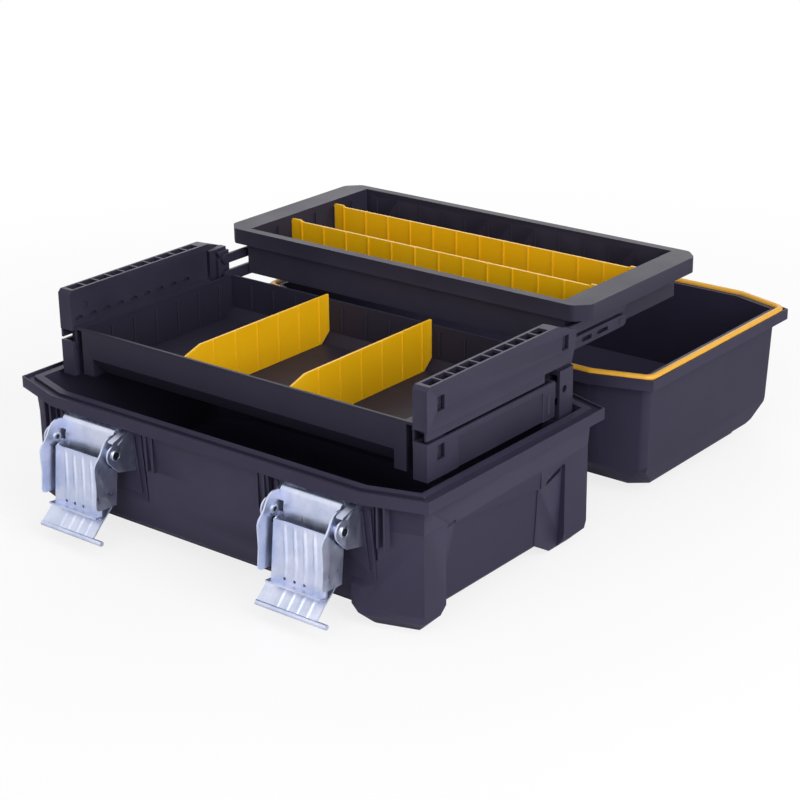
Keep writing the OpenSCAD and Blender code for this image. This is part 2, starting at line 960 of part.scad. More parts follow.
module lid_lug() {
    both_sides()
        along_x(hinge_x - lid_lug_w / 2, hinge_x + lid_lug_w / 2)
            hinge_profile(1);
}

module handle_recess() {
    box(-recess_x, recess_x, handle_mid - recess_y, handle_mid + recess_y, lid_low - 1, lid_low + recess_d);
}

// cuts that thin the lid's front rim where the hooks catch it
module catch_notches() {
    both_sides()
        box(latch_x - hook_hw - catch_side, latch_x + hook_hw + catch_side,
            back_y - rim_lip, back_y + 1, body_h - 1, base_h - catch_t);
}

module lid_shell() {
    color(base_color)
        placed() {
            difference() {
                union() {
                    lid_solid(0, 0, body_h);
                    translate([0, lid_y, body_h])
                        linear_extrude(band_h)
                            outline(0);
                }
                difference() {
                    lid_solid(lid_t, lid_top_t, base_h + 1);
                    box(-recess_x - 4, recess_x + 4, handle_mid - recess_y - 4, handle_mid + recess_y + 4,
                        lid_low, lid_low + recess_d + lid_top_t);
                }
                handle_recess();
                catch_notches();
                translate([0, lid_y, 0])
                    seal_track(base_h - bead_r, base_h + 1, 2 * bead_r);
            }
            lid_lug();
            // lugs for the handle's pins
            both_sides()
                difference() {
                    union() {
                        rod(grip_r, recess_x - handle_lug - 4, recess_x - 4, handle_y, handle_z);
                        box(recess_x - handle_lug - 4, recess_x - 4, handle_y - grip_r, handle_y + grip_r,
                            handle_z, lid_low + recess_d + eps);
                    }
                    rod(handle_pin_r + run, recess_x - handle_lug - 5, recess_x, handle_y, handle_z);
                }
        }
}

module lid_seal() {
    color(amber)
        placed()
            translate([0, lid_y, 0]) {
                seal_track(base_h - bead_r, base_h + seal_up - 1.2, 2 * bead_r);
                seal_track(base_h + seal_up - 1.2 - eps, base_h + seal_up - 0.4, 2 * bead_r - 1.6);
                seal_track(base_h + seal_up - 0.4 - eps, base_h + seal_up, 2 * bead_r - 3.4);
            }
}

module carry_handle() {
    arm_x = grip_l / 2;
    y1 = handle_y + handle_reach;
    color(tray_color)
        placed()
            difference() {
                union() {
                    rod(grip_r, -arm_x, arm_x, y1, handle_z);
                    both_sides() {
                        rod(grip_r, arm_x - handle_w, arm_x, handle_y, handle_z);
                        box(arm_x - handle_w, arm_x, handle_y, y1, handle_z - 4.5, handle_z + 4.5);
                    }
                }
                rod(handle_pin_r + run, -arm_x - 1, -arm_x + handle_w + 1, handle_y, handle_z);
                rod(handle_pin_r + run, arm_x - handle_w - 1, arm_x + 1, handle_y, handle_z);
            }
}

module handle_pins() {
    color(steel)
        placed()
            both_sides()
                rod(handle_pin_r, grip_l / 2 - handle_w, recess_x - 4.2, handle_y, handle_z);
}

// ---- latches, drawn for a latch in the middle of the box ----

module bracket() {
    difference() {
        union() {
            box(-ear_in - sheet, ear_in + sheet, bay_back - sheet, bay_back, bracket_low, bracket_top);
            for (x = [-ear_in - sheet, ear_in])
                along_x(x, x + sheet) {
                    translate([-lever_y, lever_z])
                        circle(r = 9);
                    polygon([
                        [bay_back - sheet, bracket_low], [bay_back - sheet, bracket_top],
                        [-lever_y + 4, lever_z + 8], [-lever_y - 6, lever_z - 7], [-lever_y + 3, lever_z - 16]
                    ]);
                }
        }
        rod(lever_pin_r, -ear_in - sheet - 1, ear_in + sheet + 1, -lever_y, lever_z);
        for (x = [-rivet_x, rivet_x], z = [rivet_z_low, rivet_z_up])
            translate([x, bay_back + 1, z])
                rotate([90, 0, 0])
                    cylinder(r = rivet_r, h = 4);
    }
}

module lever_profile() {
    circle(r = 8);
    polygon([
        [lever_in + sheet, 8], [lever_in + sheet, -flange_l], [-flange_low, -flange_l],
        [-flange_fwd, -5], [-flange_fwd + 1, 0], [-flange_fwd + 4, 4], [-6, 6]
    ]);
}

module at_lever() {
    translate([0, -lever_y, lever_z])
        rotate([-lever_lean, 0, 0])
            children();
}

module lever() {
    flare = atan((lip_fwd + lever_in) / (lip_drop - lever_l));
    flare_l = sqrt(pow(lip_fwd + lever_in, 2) + pow(lip_drop - lever_l, 2));
    at_lever()
        difference() {
            union() {
                box(-lever_hw, lever_hw, lever_in, lever_in + sheet, -lever_l, 8);
                box(-roll_hw - 2, roll_hw + 2, lever_in, lever_in + sheet, 7, lever_top);
                rod(roll_r, -roll_hw, roll_hw, lever_in + roll_r, lever_top);
                for (x = [-lever_hw, lever_hw - sheet])
                    along_x(x, x + sheet)
                        lever_profile();
                translate([0, lever_in + sheet, -lever_l + 0.5])
                    rotate([-flare, 0, 0])
                        rotate([90, 0, 0])
                            linear_extrude(sheet)
                                polygon([
                                    [-lever_hw, 0], [lever_hw, 0],
                                    [lip_hw, -flare_l], [-lip_hw, -flare_l]
                                ]);
                rod(lip_r, -lip_hw, lip_hw, -lip_fwd, -lip_drop);
            }
            rod(lever_pin_r + run, -lever_hw - 1, lever_hw + 1, 0, 0);
            rod(hook_pin_r + run, -lever_hw - 1, lever_hw + 1, 0, -hook_drop);
        }
}

module at_hook() {
    at_lever()
        translate([0, 0, -hook_drop])
            children();
}

module hook() {
    at_hook()
        difference() {
            union() {
                box(-hook_hw, hook_hw, -hook_in - sheet, -hook_in, -hook_len - sheet, 3);
                box(-hook_hw, hook_hw, -hook_in - sheet - claw, -hook_in - eps, -hook_len - sheet, -hook_len);
                for (x = [-hook_hw, hook_hw - sheet])
                    along_x(x, x + sheet) {
                        circle(r = 4.5);
                        translate([-hook_in - eps, -4])
                            square([hook_in, 7]);
                    }
                for (x = rib_x)
                    translate([x, -hook_in - sheet + rib_sunk, -hook_len + rib_end])
                        cylinder(r = rib_r, h = hook_len - 2 * rib_end - 1);
            }
            rod(hook_pin_r + run, -hook_hw - 1, hook_hw + 1, 0, 0);
        }
}

module latch_bracket_left() {
    color(steel)
        placed()
            translate([-latch_x, 0, 0])
                bracket();
}

module latch_bracket_right() {
    color(steel)
        placed()
            translate([latch_x, 0, 0])
                bracket();
}

module bracket_rivets() {
    color(bright)
        placed()
            both_sides()
                for (x = [-rivet_x, rivet_x], z = [rivet_z_low, rivet_z_up])
                    translate([latch_x + x, bay_back, z])
                        rotate([90, 0, 0]) {
                            cylinder(r = rivet_r, h = sheet);
                            translate([0, 0, sheet])
                                cylinder(r = 3.6, h = 1);
                        }
}

// one rivet per bracket ear, so that a hook can swing between them
module lever_rivet() {
    rod(lever_pin_r, lever_hw - sheet - 1, ear_in + sheet + 1, -lever_y, lever_z);
    rod(4, lever_hw - sheet - 1, lever_hw - sheet - 0.1, -lever_y, lever_z);
    rod(4, lever_hw + 0.1, ear_in, -lever_y, lever_z);
    rod(4.4, ear_in + sheet, ear_in + sheet + 1.4, -lever_y, lever_z);
}

module lever_pins() {
    color(bright)
        placed()
            for (x = [-latch_x, latch_x])
                translate([x, 0, 0])
                    both_sides()
                        lever_rivet();
}

module latch_lever_left() {
    color(steel)
        placed()
            translate([-latch_x, 0, 0])
                lever();
}

module latch_lever_right() {
    color(steel)
        placed()
            translate([latch_x, 0, 0])
                lever();
}

module hook_pin() {
    at_hook() {
        rod(hook_pin_r, -lever_hw - 0.8, lever_hw + 0.8, 0, 0);
        for (s = [-1, 1])
            rod(3.2, s * (lever_hw + 0.7) - 0.6, s * (lever_hw + 0.7) + 0.6, 0, 0);
    }
}

module hook_pin_left() {
    color(bright)
        placed()
            translate([-latch_x, 0, 0])
                hook_pin();
}

module hook_pin_right() {
    color(bright)
        placed()
            translate([latch_x, 0, 0])
                hook_pin();
}

module latch_hook_left() {
    color(steel)
        placed()
            translate([-latch_x, 0, 0])
                hook();
}

module latch_hook_right() {
    color(steel)
        placed()
            translate([latch_x, 0, 0])
                hook();
}

base_tub();
rear_post_left();
rear_post_right();
post_screws();
plate_pins_rear();
arm_pivot_pins();
hinge_pins();
latch_bracket_left();
latch_bracket_right();
bracket_rivets();
lever_pins();
upper_plate_left();
upper_plate_right();
lower_plate_left();
lower_plate_right();
middle_tray();
plate_pins_front();
middle_divider_left();
middle_divider_right();
swing_arm_left();
swing_arm_right();
level_link_left();
level_link_right();
upper_tray();
arm_pins_front();
upper_divider_front();
upper_divider_rear();
lid_shell();
lid_seal();
carry_handle();
handle_pins();
latch_lever_left();
latch_lever_right();
hook_pin_left();
hook_pin_right();
latch_hook_left();
latch_hook_right();
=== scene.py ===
"""Looks of a cantilever tool box, open: its moulded plastics, zinc-plated latches, rubber seal and studio.

Sizes inside the classes are millimetres in the box's own frame: x from the middle of the box, y back from
the front edge of the base's rim, z up from the floor. Meshes are turned to metres in the row frame once.
"""
import logging
import math
from dataclasses import dataclass
from enum import Enum
from typing import Callable, Optional, Sequence

import bmesh
import bpy
from bpy.types import ID, Material, Mesh, Node, NodeSocket, NodeTree, Object
from mathutils import Matrix, Vector


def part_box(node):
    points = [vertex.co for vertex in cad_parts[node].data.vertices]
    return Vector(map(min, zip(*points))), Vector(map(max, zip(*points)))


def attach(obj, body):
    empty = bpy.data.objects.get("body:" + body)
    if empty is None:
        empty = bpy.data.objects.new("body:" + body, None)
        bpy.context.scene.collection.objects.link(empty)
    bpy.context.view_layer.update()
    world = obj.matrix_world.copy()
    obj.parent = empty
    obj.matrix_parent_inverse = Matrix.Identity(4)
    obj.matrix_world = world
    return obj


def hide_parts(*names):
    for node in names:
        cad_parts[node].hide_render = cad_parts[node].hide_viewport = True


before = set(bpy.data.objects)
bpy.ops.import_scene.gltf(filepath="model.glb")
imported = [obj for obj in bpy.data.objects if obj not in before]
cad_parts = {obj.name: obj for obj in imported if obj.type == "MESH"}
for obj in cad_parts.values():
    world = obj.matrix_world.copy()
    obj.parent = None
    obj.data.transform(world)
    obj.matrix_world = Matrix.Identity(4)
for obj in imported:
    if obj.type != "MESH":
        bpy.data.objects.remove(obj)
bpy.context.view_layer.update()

LOG = logging.getLogger("tool_box")

MM = 0.001
BACK_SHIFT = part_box("base_tub")[0].y  # the base rim's front edge in the row frame, metres

SIDES = (-1, 1)  # left and right, as signs of x

Point = tuple[float, float]
Block = tuple[float, float, float, float, float, float]  # x0, x1, y0, y1, z0, z1


# ---------------------------------------------------------------- colours and nodes


def linear(hex_colour: str) -> tuple[float, float, float, float]:
    """Turns an sRGB hex colour to linear RGBA.

    Args:
        hex_colour: Six hex digits after a hash sign.

    Returns:
        Linear red, green and blue, and an alpha of 1.
    """
    parts = [int(hex_colour[i : i + 2], 16) / 255 for i in (1, 3, 5)]
    lin = [c / 12.92 if c <= 0.04045 else ((c + 0.055) / 1.055) ** 2.4 for c in parts]
    return (lin[0], lin[1], lin[2], 1.0)


def add_node(tree: NodeTree, kind: str, links: Optional[dict] = None, **settings: object) -> Node:
    """Adds one node with its settings and links.

    Args:
        tree: The shader or geometry tree.
        kind: The node's Blender type name.
        links: Output sockets by the name or index of the input that they feed.
        settings: Properties of the node, or, with a leading in_, values of its inputs by name.

    Returns:
        The new node.
    """
    node = tree.nodes.new(kind)
    for key, value in settings.items():
        if not key.startswith("in_"):
            setattr(node, key, value)
    for key, value in settings.items():
        if key.startswith("in_"):
            node.inputs[key[3:].replace("_", " ")].default_value = value
    for key, socket in (links or {}).items():
        tree.links.new(socket, node.inputs[key])
    return node


def new_material(name: str) -> tuple[Material, NodeTree, Node, NodeSocket]:
    """Makes a bare node material.

    Args:
        name: The material's name.

    Returns:
        The material, its tree, its shader and its object coordinates.
    """
    material = bpy.data.materials.new(name)
    material.use_nodes = True
    tree = material.node_tree
    place = add_node(tree, "ShaderNodeTexCoord").outputs["Object"]
    return material, tree, tree.nodes["Principled BSDF"], place


def noise(tree: NodeTree, place: NodeSocket, size_mm: float, detail: float, rough: float) -> NodeSocket:
    """Adds a noise with patches of about a size in millimetres and returns its value."""
    return add_node(tree, "ShaderNodeTexNoise", {"Vector": place}, in_Scale=1000 / size_mm, in_Detail=detail,
                    in_Roughness=rough).outputs[0]


def spread(tree: NodeTree, value: NodeSocket, low: float, high: float, to_low: float = 0.0,
           to_high: float = 1.0) -> NodeSocket:
    """Maps the range from low to high onto another and returns the result."""
    return add_node(tree, "ShaderNodeMapRange", {"Value": value}, in_From_Min=low, in_From_Max=high,
                    in_To_Min=to_low, in_To_Max=to_high).outputs[0]


def combine(tree: NodeTree, a: NodeSocket, b: NodeSocket, operation: str = "MULTIPLY") -> NodeSocket:
    """Combines two values, by default as their product, and returns the result."""
    return add_node(tree, "ShaderNodeMath", {0: a, 1: b}, operation=operation).outputs[0]


def two_tone(tree: NodeTree, factor: NodeSocket, low: str, high: str) -> NodeSocket:
    """Mixes two hex colours by a factor and returns the colour."""
    mix = add_node(tree, "ShaderNodeMix", {"Factor": factor}, data_type="RGBA")
    mix.inputs[6].default_value = linear(low)
    mix.inputs[7].default_value = linear(high)
    return mix.outputs[2]


def relief(tree: NodeTree, shader: Node, height: NodeSocket, strength: float, depth_mm: float) -> None:
    """Gives a shader the fine relief of a height."""
    bump = add_node(tree, "ShaderNodeBump", {"Height": height}, in_Strength=strength, in_Distance=depth_mm * MM)
    tree.links.new(bump.outputs[0], shader.inputs["Normal"])


@dataclass(frozen=True)
class MouldedPolypropylene:
    """Injection-moulded polypropylene: a spark-eroded grain, faint flow marks and outer edges painted paler, partly as
    wear and partly as a painted highlight.
    """

    name: str
    colour: str
    flow_colour: str
    # The paler colour of outer edges: partly wear, partly a painted highlight.
    wear_and_highlight_colour: str
    roughness: float = 0.5
    roughness_play: float = 0.07
    grain_mm: float = 0.55  # coarser than a real grain of about 0.3 mm, which no pixel here would show
    flow_mm: float = 90.0
    grain_depth_mm: float = 0.05
    grain_strength: float = 0.35
    # How far outer edges pale towards that colour, as wear and as a painted highlight.
    wear_and_highlight_amount: float = 0.5
    gloss: float = 0.13
    refraction: float = 1.49

    def material(self) -> Material:
        """Builds the node material."""
        material, tree, shader, place = new_material(self.name)
        flow = noise(tree, place, self.flow_mm, 4.0, 0.6)
        relief(tree, shader, noise(tree, place, self.grain_mm, 2.0, 0.5), self.grain_strength, self.grain_depth_mm)
        # Pointiness is above a half on outer edges, which are painted paler: partly wear from hands and benches, partly
        # a painted highlight.
        edge = add_node(tree, "ShaderNodeNewGeometry").outputs["Pointiness"]
        wear_and_highlight_mask = spread(tree, edge, 0.51, 0.60, 0.0, self.wear_and_highlight_amount)
        tint = two_tone(tree, flow, self.colour, self.flow_colour)
        wear_and_highlight_tint = add_node(tree, "ShaderNodeMix", {0: combine(tree, wear_and_highlight_mask, flow), 6: tint}, data_type="RGBA")
        wear_and_highlight_tint.inputs[7].default_value = linear(self.wear_and_highlight_colour)
        sheen = spread(tree, flow, 0.25, 0.75, self.roughness - self.roughness_play,
                       self.roughness + self.roughness_play)
        tree.links.new(wear_and_highlight_tint.outputs[2], shader.inputs["Base Color"])
        tree.links.new(sheen, shader.inputs["Roughness"])
        shader.inputs["IOR"].default_value = self.refraction
        shader.inputs["Specular IOR Level"].default_value = self.gloss
        return material


@dataclass(frozen=True)
class ZincPlatedSteel:
    """Pressed sheet steel, zinc plated and clear-blue passivated: cold bloom, press streaks, a soft gloss."""

    name: str
    colour: str
    bloom_colour: str
    roughness: float = 0.34
    bloom_mm: float = 22.0
    streak_mm: float = 0.9
    streak_stretch: tuple[float, float, float] = (1.0, 0.12, 0.06)
    streak_depth_mm: float = 0.05

    def material(self) -> Material:
        """Builds the node material."""
        material, tree, shader, place = new_material(self.name)
        patch = spread(tree, noise(tree, place, self.bloom_mm, 5.0, 0.62), 0.38, 0.64)
        along = add_node(tree, "ShaderNodeMapping", {"Vector": place}, in_Scale=self.streak_stretch)
        streak = noise(tree, along.outputs[0], self.streak_mm, 3.0, 0.7)
        gloss = spread(tree, streak, 0.3, 0.7, self.roughness - 0.08, self.roughness + 0.1)
        relief(tree, shader, streak, 0.12, self.streak_depth_mm)
        tree.links.new(two_tone(tree, patch, self.colour, self.bloom_colour), shader.inputs["Base Color"])
        tree.links.new(gloss, shader.inputs["Roughness"])
        shader.inputs["Metallic"].default_value = 1.0
        return material


@dataclass(frozen=True)
class ExtrudedRubber:
    """Extruded thermoplastic rubber: satin, with fine dust in its skin that pales it in patches."""

    name: str
    colour: str
    dusty_colour: str
    roughness: float = 0.46
    dust_mm: float = 7.0
    dust_depth_mm: float = 0.1
    refraction: float = 1.5

    def material(self) -> Material:
        """Builds the node material."""
        material, tree, shader, place = new_material(self.name)
        dust = noise(tree, place, self.dust_mm, 6.0, 0.65)
        relief(tree, shader, dust, 0.1, self.dust_depth_mm)
        tree.links.new(two_tone(tree, dust, self.colour, self.dusty_colour), shader.inputs["Base Color"])
        shader.inputs["Roughness"].default_value = self.roughness
        shader.inputs["IOR"].default_value = self.refraction
        return material


class Finish(Enum):
    """The finishes on this tool box."""

    # The third colour of each moulding is its paler outer edges: partly wear, partly a painted highlight.
    SHELL = MouldedPolypropylene("charcoal_moulded_polypropylene", "#2b2839", "#312e40", "#4c485c")
    TRAY = MouldedPolypropylene("tray_moulded_polypropylene", "#252330", "#2a2836", "#454252", roughness=0.47)
    PLATE = MouldedPolypropylene("side_plate_moulded_polypropylene", "#262331", "#322f40", "#4e4a60",
                                 roughness=0.44, flow_mm=60.0)
    DIVIDER = MouldedPolypropylene("yellow_moulded_polypropylene", "#e3a806", "#ebb40c", "#f4cb4a",
                                   roughness=0.4, flow_mm=45.0, wear_and_highlight_amount=0.4, gloss=0.3)
    SEAL = ExtrudedRubber("amber_extruded_rubber", "#d99a1e", "#e4ae3c")
    LATCH = ZincPlatedSteel("blue_zinc_plated_steel", "#d6daec", "#c0c9e0")
    RIVET = ZincPlatedSteel("bright_zinc_plated_rivet_steel", "#dfe3ec", "#cbd3e0", roughness=0.26, bloom_mm=9.0)
    PIN = ZincPlatedSteel("turned_zinc_plated_pin_steel", "#c6cad2", "#b3b9c5", roughness=0.3, bloom_mm=12.0)
    # Dark pins, and also the painted shade inside the lever rivets' bores.
    DARK_PIN_AND_BORE_SHADE = ZincPlatedSteel("black_oxide_pin_steel_and_painted_bore_shade", "#30323b", "#3b3e49", roughness=0.42, bloom_mm=6.0)

    def material(self) -> Material:
        """Returns this finish's material, made on first use."""
        return bpy.data.materials.get(self.value.name) or self.value.material()


# ---------------------------------------------------------------- meshes


class Axis(Enum):
    """The direction in which an outline is carried; the outline's two numbers are the other two axes."""

    X = 0
    Y = 1
    Z = 2

    def point(self, a: float, b: float, along: float) -> Vector:
        """Places an outline point: (y, z) for X, (x, z) for Y, (x, y) for Z."""
        if self is Axis.X:
            return Vector((along, a, b))
        if self is Axis.Y:
            return Vector((a, along, b))
        return Vector((a, b, along))


def to_row(side: int = 1) -> Matrix:
    """Returns the matrix from the box's millimetres to the row frame, mirrored in x where side is -1."""
    return Matrix.Translation((0, BACK_SHIFT, 0)) @ Matrix.Diagonal((side * MM, MM, MM, 1))


class Stock:
    """A mesh being made from prisms, blocks and turned parts, in millimetres."""

    def __init__(self) -> None:
        """Starts an empty mesh."""
        self.bm = bmesh.new()

    def between(self, near: Sequence[Vector], far: Sequence[Vector]) -> "Stock":
        """Adds the solid between two outlines.

        Args:
            near: The corners of one end, in order.
            far: As many corners of the other.

        Returns:
            This stock.
        """
        rings = [[self.bm.verts.new(point) for point in ring] for ring in (near, far)]
        faces = [self.bm.faces.new(ring) for ring in rings]
        for i in range(len(near)):
            j = (i + 1) % len(near)
            faces.append(self.bm.faces.new((rings[0][i], rings[0][j], rings[1][j], rings[1][i])))
        bmesh.ops.recalc_face_normals(self.bm, faces=faces)
        return self

    def prism(self, outline: Sequence[Point], axis: Axis, start: float, end: float) -> "Stock":
        """Carries an outline along an axis, from a start to an end."""
        return self.between([axis.point(a, b, start) for a, b in outline], [axis.point(a, b, end) for a, b in outline])

    def loft(self, low: Sequence[Point], z0: float, high: Sequence[Point], z1: float) -> "Stock":
        """Joins an outline at one height to one with as many corners at another."""
        return self.between([Vector((x, y, z0)) for x, y in low], [Vector((x, y, z1)) for x, y in high])

    def block(self, x0: float, x1: float, y0: float, y1: float, z0: float, z1: float) -> "Stock":
        """Adds a block between two corners."""
        return self.prism([(x0, y0), (x1, y0), (x1, y1), (x0, y1)], Axis.Z, z0, z1)

    def turned(self, profile: Sequence[Point], axis: Axis, a: float, b: float, sides: int = 24) -> "Stock":
        """Turns a profile round an axis.

        Args:
            profile: (distance along the axis, radius) pairs, whose first and last radius are 0.
            axis: The direction of the axis.
            a: The axis's first other coordinate.
            b: Its second other coordinate.
            sides: Faces round the part.

        Returns:
            This stock.
        """
        rings = []
        for along, radius in profile:
            if radius == 0:
                rings.append([self.bm.verts.new(axis.point(a, b, along))])
                continue
            rings.append([self.bm.verts.new(axis.point(a + radius * math.cos(2 * math.pi * i / sides),
                                                       b + radius * math.sin(2 * math.pi * i / sides), along))
                          for i in range(sides)])
        faces = []
        for low, high in zip(rings, rings[1:]):
            for i in range(sides):
                j = (i + 1) % sides
                corners = [low[i % len(low)], low[j % len(low)], high[j % len(high)], high[i % len(high)]]
                faces.append(self.bm.faces.new(list(dict.fromkeys(corners))))
        bmesh.ops.recalc_face_normals(self.bm, faces=faces)
        return self

    def cylinder(self, near: float, far: float, radius: float, *place: object) -> "Stock":
        """Adds a cylinder between two ends; place is turned()'s axis, a, b and sides."""
        return self.turned([(near, 0), (near, radius), (far, radius), (far, 0)], *place)

    def sweep(self, stations: Sequence[Sequence[Vector]], thickness: float) -> "Stock":
        """Makes a bent sheet from rows of points on its middle surface.

        Args:
            stations: Rows of points, each as long as the others.
            thickness: The sheet's thickness.

        Returns:
            This stock.
        """
        last, end = len(stations) - 1, len(stations[0]) - 1
        front, back = [], []
        for i, row in enumerate(stations):
            half = []
            for j in range(end + 1):
                down = stations[min(i + 1, last)][j] - stations[max(i - 1, 0)][j]
                across = row[min(j + 1, end)] - row[max(j - 1, 0)]
                half.append(down.cross(across).normalized() * thickness / 2)
            front.append([point + shift for point, shift in zip(row, half)])
            back.append([point - shift for point, shift in zip(row, half)])
        front, back = [[[self.bm.verts.new(point) for point in row] for row in skin] for skin in (front, back)]
        faces = []
        for skin in (front, back):
            for i in range(last):
                for j in range(end):
                    faces.append(self.bm.faces.new((skin[i][j], skin[i][j + 1], skin[i + 1][j + 1], skin[i + 1][j])))
        for i in range(last):
            for j in (0, end):
                faces.append(self.bm.faces.new((front[i][j], back[i][j], back[i + 1][j], front[i + 1][j])))
        for j in range(end):
            for i in (0, last):
                faces.append(self.bm.faces.new((front[i][j], back[i][j], back[i][j + 1], front[i][j + 1])))
        bmesh.ops.recalc_face_normals(self.bm, faces=faces)
        return self

    def mesh(self, name: str, transform: Optional[Matrix] = None) -> Mesh:
        """Turns a copy of the stock into a mesh.

        Args:
            name: The mesh's name.
            transform: A matrix that moves it; a mirroring one keeps the normals outward.

        Returns:
            The mesh.
        """
        made = self.bm.copy()
        if transform is not None:
            bmesh.ops.transform(made, matrix=transform, verts=made.verts)
            if transform.determinant() < 0:
                bmesh.ops.reverse_faces(made, faces=made.faces)
        mesh = bpy.data.meshes.new(name)
        made.to_mesh(mesh)
        made.free()
        return mesh


def link_object(name: str, data: ID) -> Object:
    """Puts a mesh, lamp or camera into the scene as an object at the origin."""
    obj = bpy.data.objects.new(name, data)
    bpy.context.scene.collection.objects.link(obj)
    return obj


def settle(obj: Object) -> Object:
    """Applies an object's modifiers to its mesh."""
    graph = bpy.context.evaluated_depsgraph_get()
    mesh = bpy.data.meshes.new_from_object(obj.evaluated_get(graph), depsgraph=graph)
    obj.modifiers.clear()
    old = obj.data
    obj.data = mesh
    bpy.data.meshes.remove(old)
    mesh.name = obj.name
    return obj


def cut(obj: Object, tool: Mesh, operation: str = "DIFFERENCE") -> None:
    """Cuts a mesh out of an object, or joins it on, and drops the mesh.

    Args:
        obj: The piece.
        tool: The mesh, whose objects are removed with it.
        operation: DIFFERENCE, UNION or INTERSECT.
    """
    cutter = link_object(obj.name + "_tool", tool)
    step = obj.modifiers.new("cut", "BOOLEAN")
    step.operation = operation
    step.solver = "EXACT"
    step.use_self = True
    step.object = cutter
    settle(obj)
    bpy.data.objects.remove(cutter)
    bpy.data.meshes.remove(tool)


def merged_copy(node: str, name: str) -> Object:
    """Copies a CAD node's mesh, welds its triangles and clears its flat faces of inner edges.

    Args:
        node: The CAD node.
        name: The copy's name.

    Returns:
        The copy, as an object.
    """
    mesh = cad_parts[node].data.copy()
    mesh.materials.clear()
    bm = bmesh.new()
    bm.from_mesh(mesh)
    bmesh.ops.remove_doubles(bm, verts=bm.verts, dist=0.01 * MM)
    bmesh.ops.dissolve_limit(bm, angle_limit=math.radians(0.5), verts=bm.verts, edges=bm.edges)
    bm.to_mesh(mesh)
    bm.free()
    return link_object(name, mesh)


def round_edges(obj: Object, radius: float, steps: int = 2, angle: float = 28.0) -> Object:
    """Rounds the sharp edges of a moulding or pressing.

    Args:
        obj: The piece.
        radius: The edge radius in millimetres.
        steps: Faces across the rounding.
        angle: Edges sharper than this many degrees are rounded.

    Returns:
        The piece.
    """
    bevel = obj.modifiers.new("edges", "BEVEL")
    bevel.width = radius * MM
    bevel.segments = steps
    bevel.limit_method = "ANGLE"
    bevel.angle_limit = math.radians(angle)
    bevel.use_clamp_overlap = True
    bevel.harden_normals = False
    bevel.miter_outer = "MITER_ARC"
    return settle(obj)


def dress(obj: Object, finish: Finish, body: str, *replaced: str, smooth: float = 32.0) -> None:
    """Gives a finished piece its material, shading and body.

    Args:
        obj: The piece.
        finish: Its finish.
        body: The body that carries it.
        replaced: CAD nodes that it stands for.
        smooth: Edges flatter than this many degrees are shaded smooth.
    """
    mesh = obj.data
    mesh.materials.clear()
    mesh.materials.append(finish.material())
    mesh.polygons.foreach_set("material_index", [0] * len(mesh.polygons))
    mesh.shade_smooth()
    mesh.set_sharp_from_angle(angle=math.radians(smooth))
    flats = obj.modifiers.new("flats", "WEIGHTED_NORMAL")
    flats.keep_sharp = True
    mesh = settle(obj).data
    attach(obj, body)
    if replaced:
        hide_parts(*replaced)
    LOG.info("%s: %d faces on %s", obj.name, len(mesh.polygons), body)


# ---------------------------------------------------------------- geometry node trees


class PieceTree:
    """A geometry tree with named inputs, which ends by realizing its instances and setting the finish."""

    name: str
    inputs: tuple[tuple[str, str, object], ...]

    def wire(self, tree: NodeTree, given: Sequence[NodeSocket]) -> NodeSocket:
        """Adds the tree's own nodes and returns the geometry that they make."""
        raise NotImplementedError

    def build(self) -> NodeTree:
        """Builds the tree, or returns it where it is there already."""
        if self.name in bpy.data.node_groups:
            return bpy.data.node_groups[self.name]
        tree = bpy.data.node_groups.new(self.name, "GeometryNodeTree")
        for name, kind, value in self.inputs + (("Finish", "Material", None),):
            socket = tree.interface.new_socket(name=name, in_out="INPUT", socket_type="NodeSocket" + kind)
            if value is not None:
                socket.default_value = value
        tree.interface.new_socket(name="Geometry", in_out="OUTPUT", socket_type="NodeSocketGeometry")
        given = add_node(tree, "NodeGroupInput").outputs
        real = add_node(tree, "GeometryNodeRealizeInstances", {0: self.wire(tree, given)})
        done = add_node(tree, "GeometryNodeSetMaterial", {"Geometry": real.outputs[0], "Material": given["Finish"]})
        add_node(tree, "NodeGroupOutput", {0: done.outputs[0]})
        return tree

    def run(self, obj: Object, finish: Finish, values: dict[str, object]) -> Object:
        """Runs the tree on an object and keeps the result as its mesh.

        Args:
            obj: The object, whose mesh feeds the tree's first input.
            finish: The finish that the tree sets.
            values: The other inputs' values by name.

        Returns:
            The object.
        """
        modifier = obj.modifiers.new(self.name, "NODES")
        modifier.node_group = self.build()
        values = {**values, "Finish": finish.material()}
        for item in modifier.node_group.interface.items_tree:
            if item.item_type == "SOCKET" and item.in_out == "INPUT" and item.name in values:
                modifier[item.identifier] = values[item.name]
        return settle(obj)


class RowTree(PieceTree):
    """Repeats its object's mesh in a row or a grid, such as ribs and slots."""

    name = "repeat_in_rows"
    inputs = (("Part", "Geometry", None), ("Count", "Int", 2), ("Step", "Vector", None), ("Rows", "Int", 1),
              ("Row Step", "Vector", None))

    def wire(self, tree: NodeTree, given: Sequence[NodeSocket]) -> NodeSocket:
        """Puts a row of points at each point of a column, and a part at each of those."""
        row = add_node(tree, "GeometryNodeMeshLine", {"Count": given["Count"], "Offset": given["Step"]})
        rows = add_node(tree, "GeometryNodeMeshLine", {"Count": given["Rows"], "Offset": given["Row Step"]})
        grid = add_node(tree, "GeometryNodeInstanceOnPoints", {"Points": rows.outputs[0], "Instance": row.outputs[0]})
        points = add_node(tree, "GeometryNodeRealizeInstances", {0: grid.outputs[0]})
        parts = add_node(tree, "GeometryNodeInstanceOnPoints", {"Points": points.outputs[0], "Instance": given["Part"]})
        return parts.outputs[0]


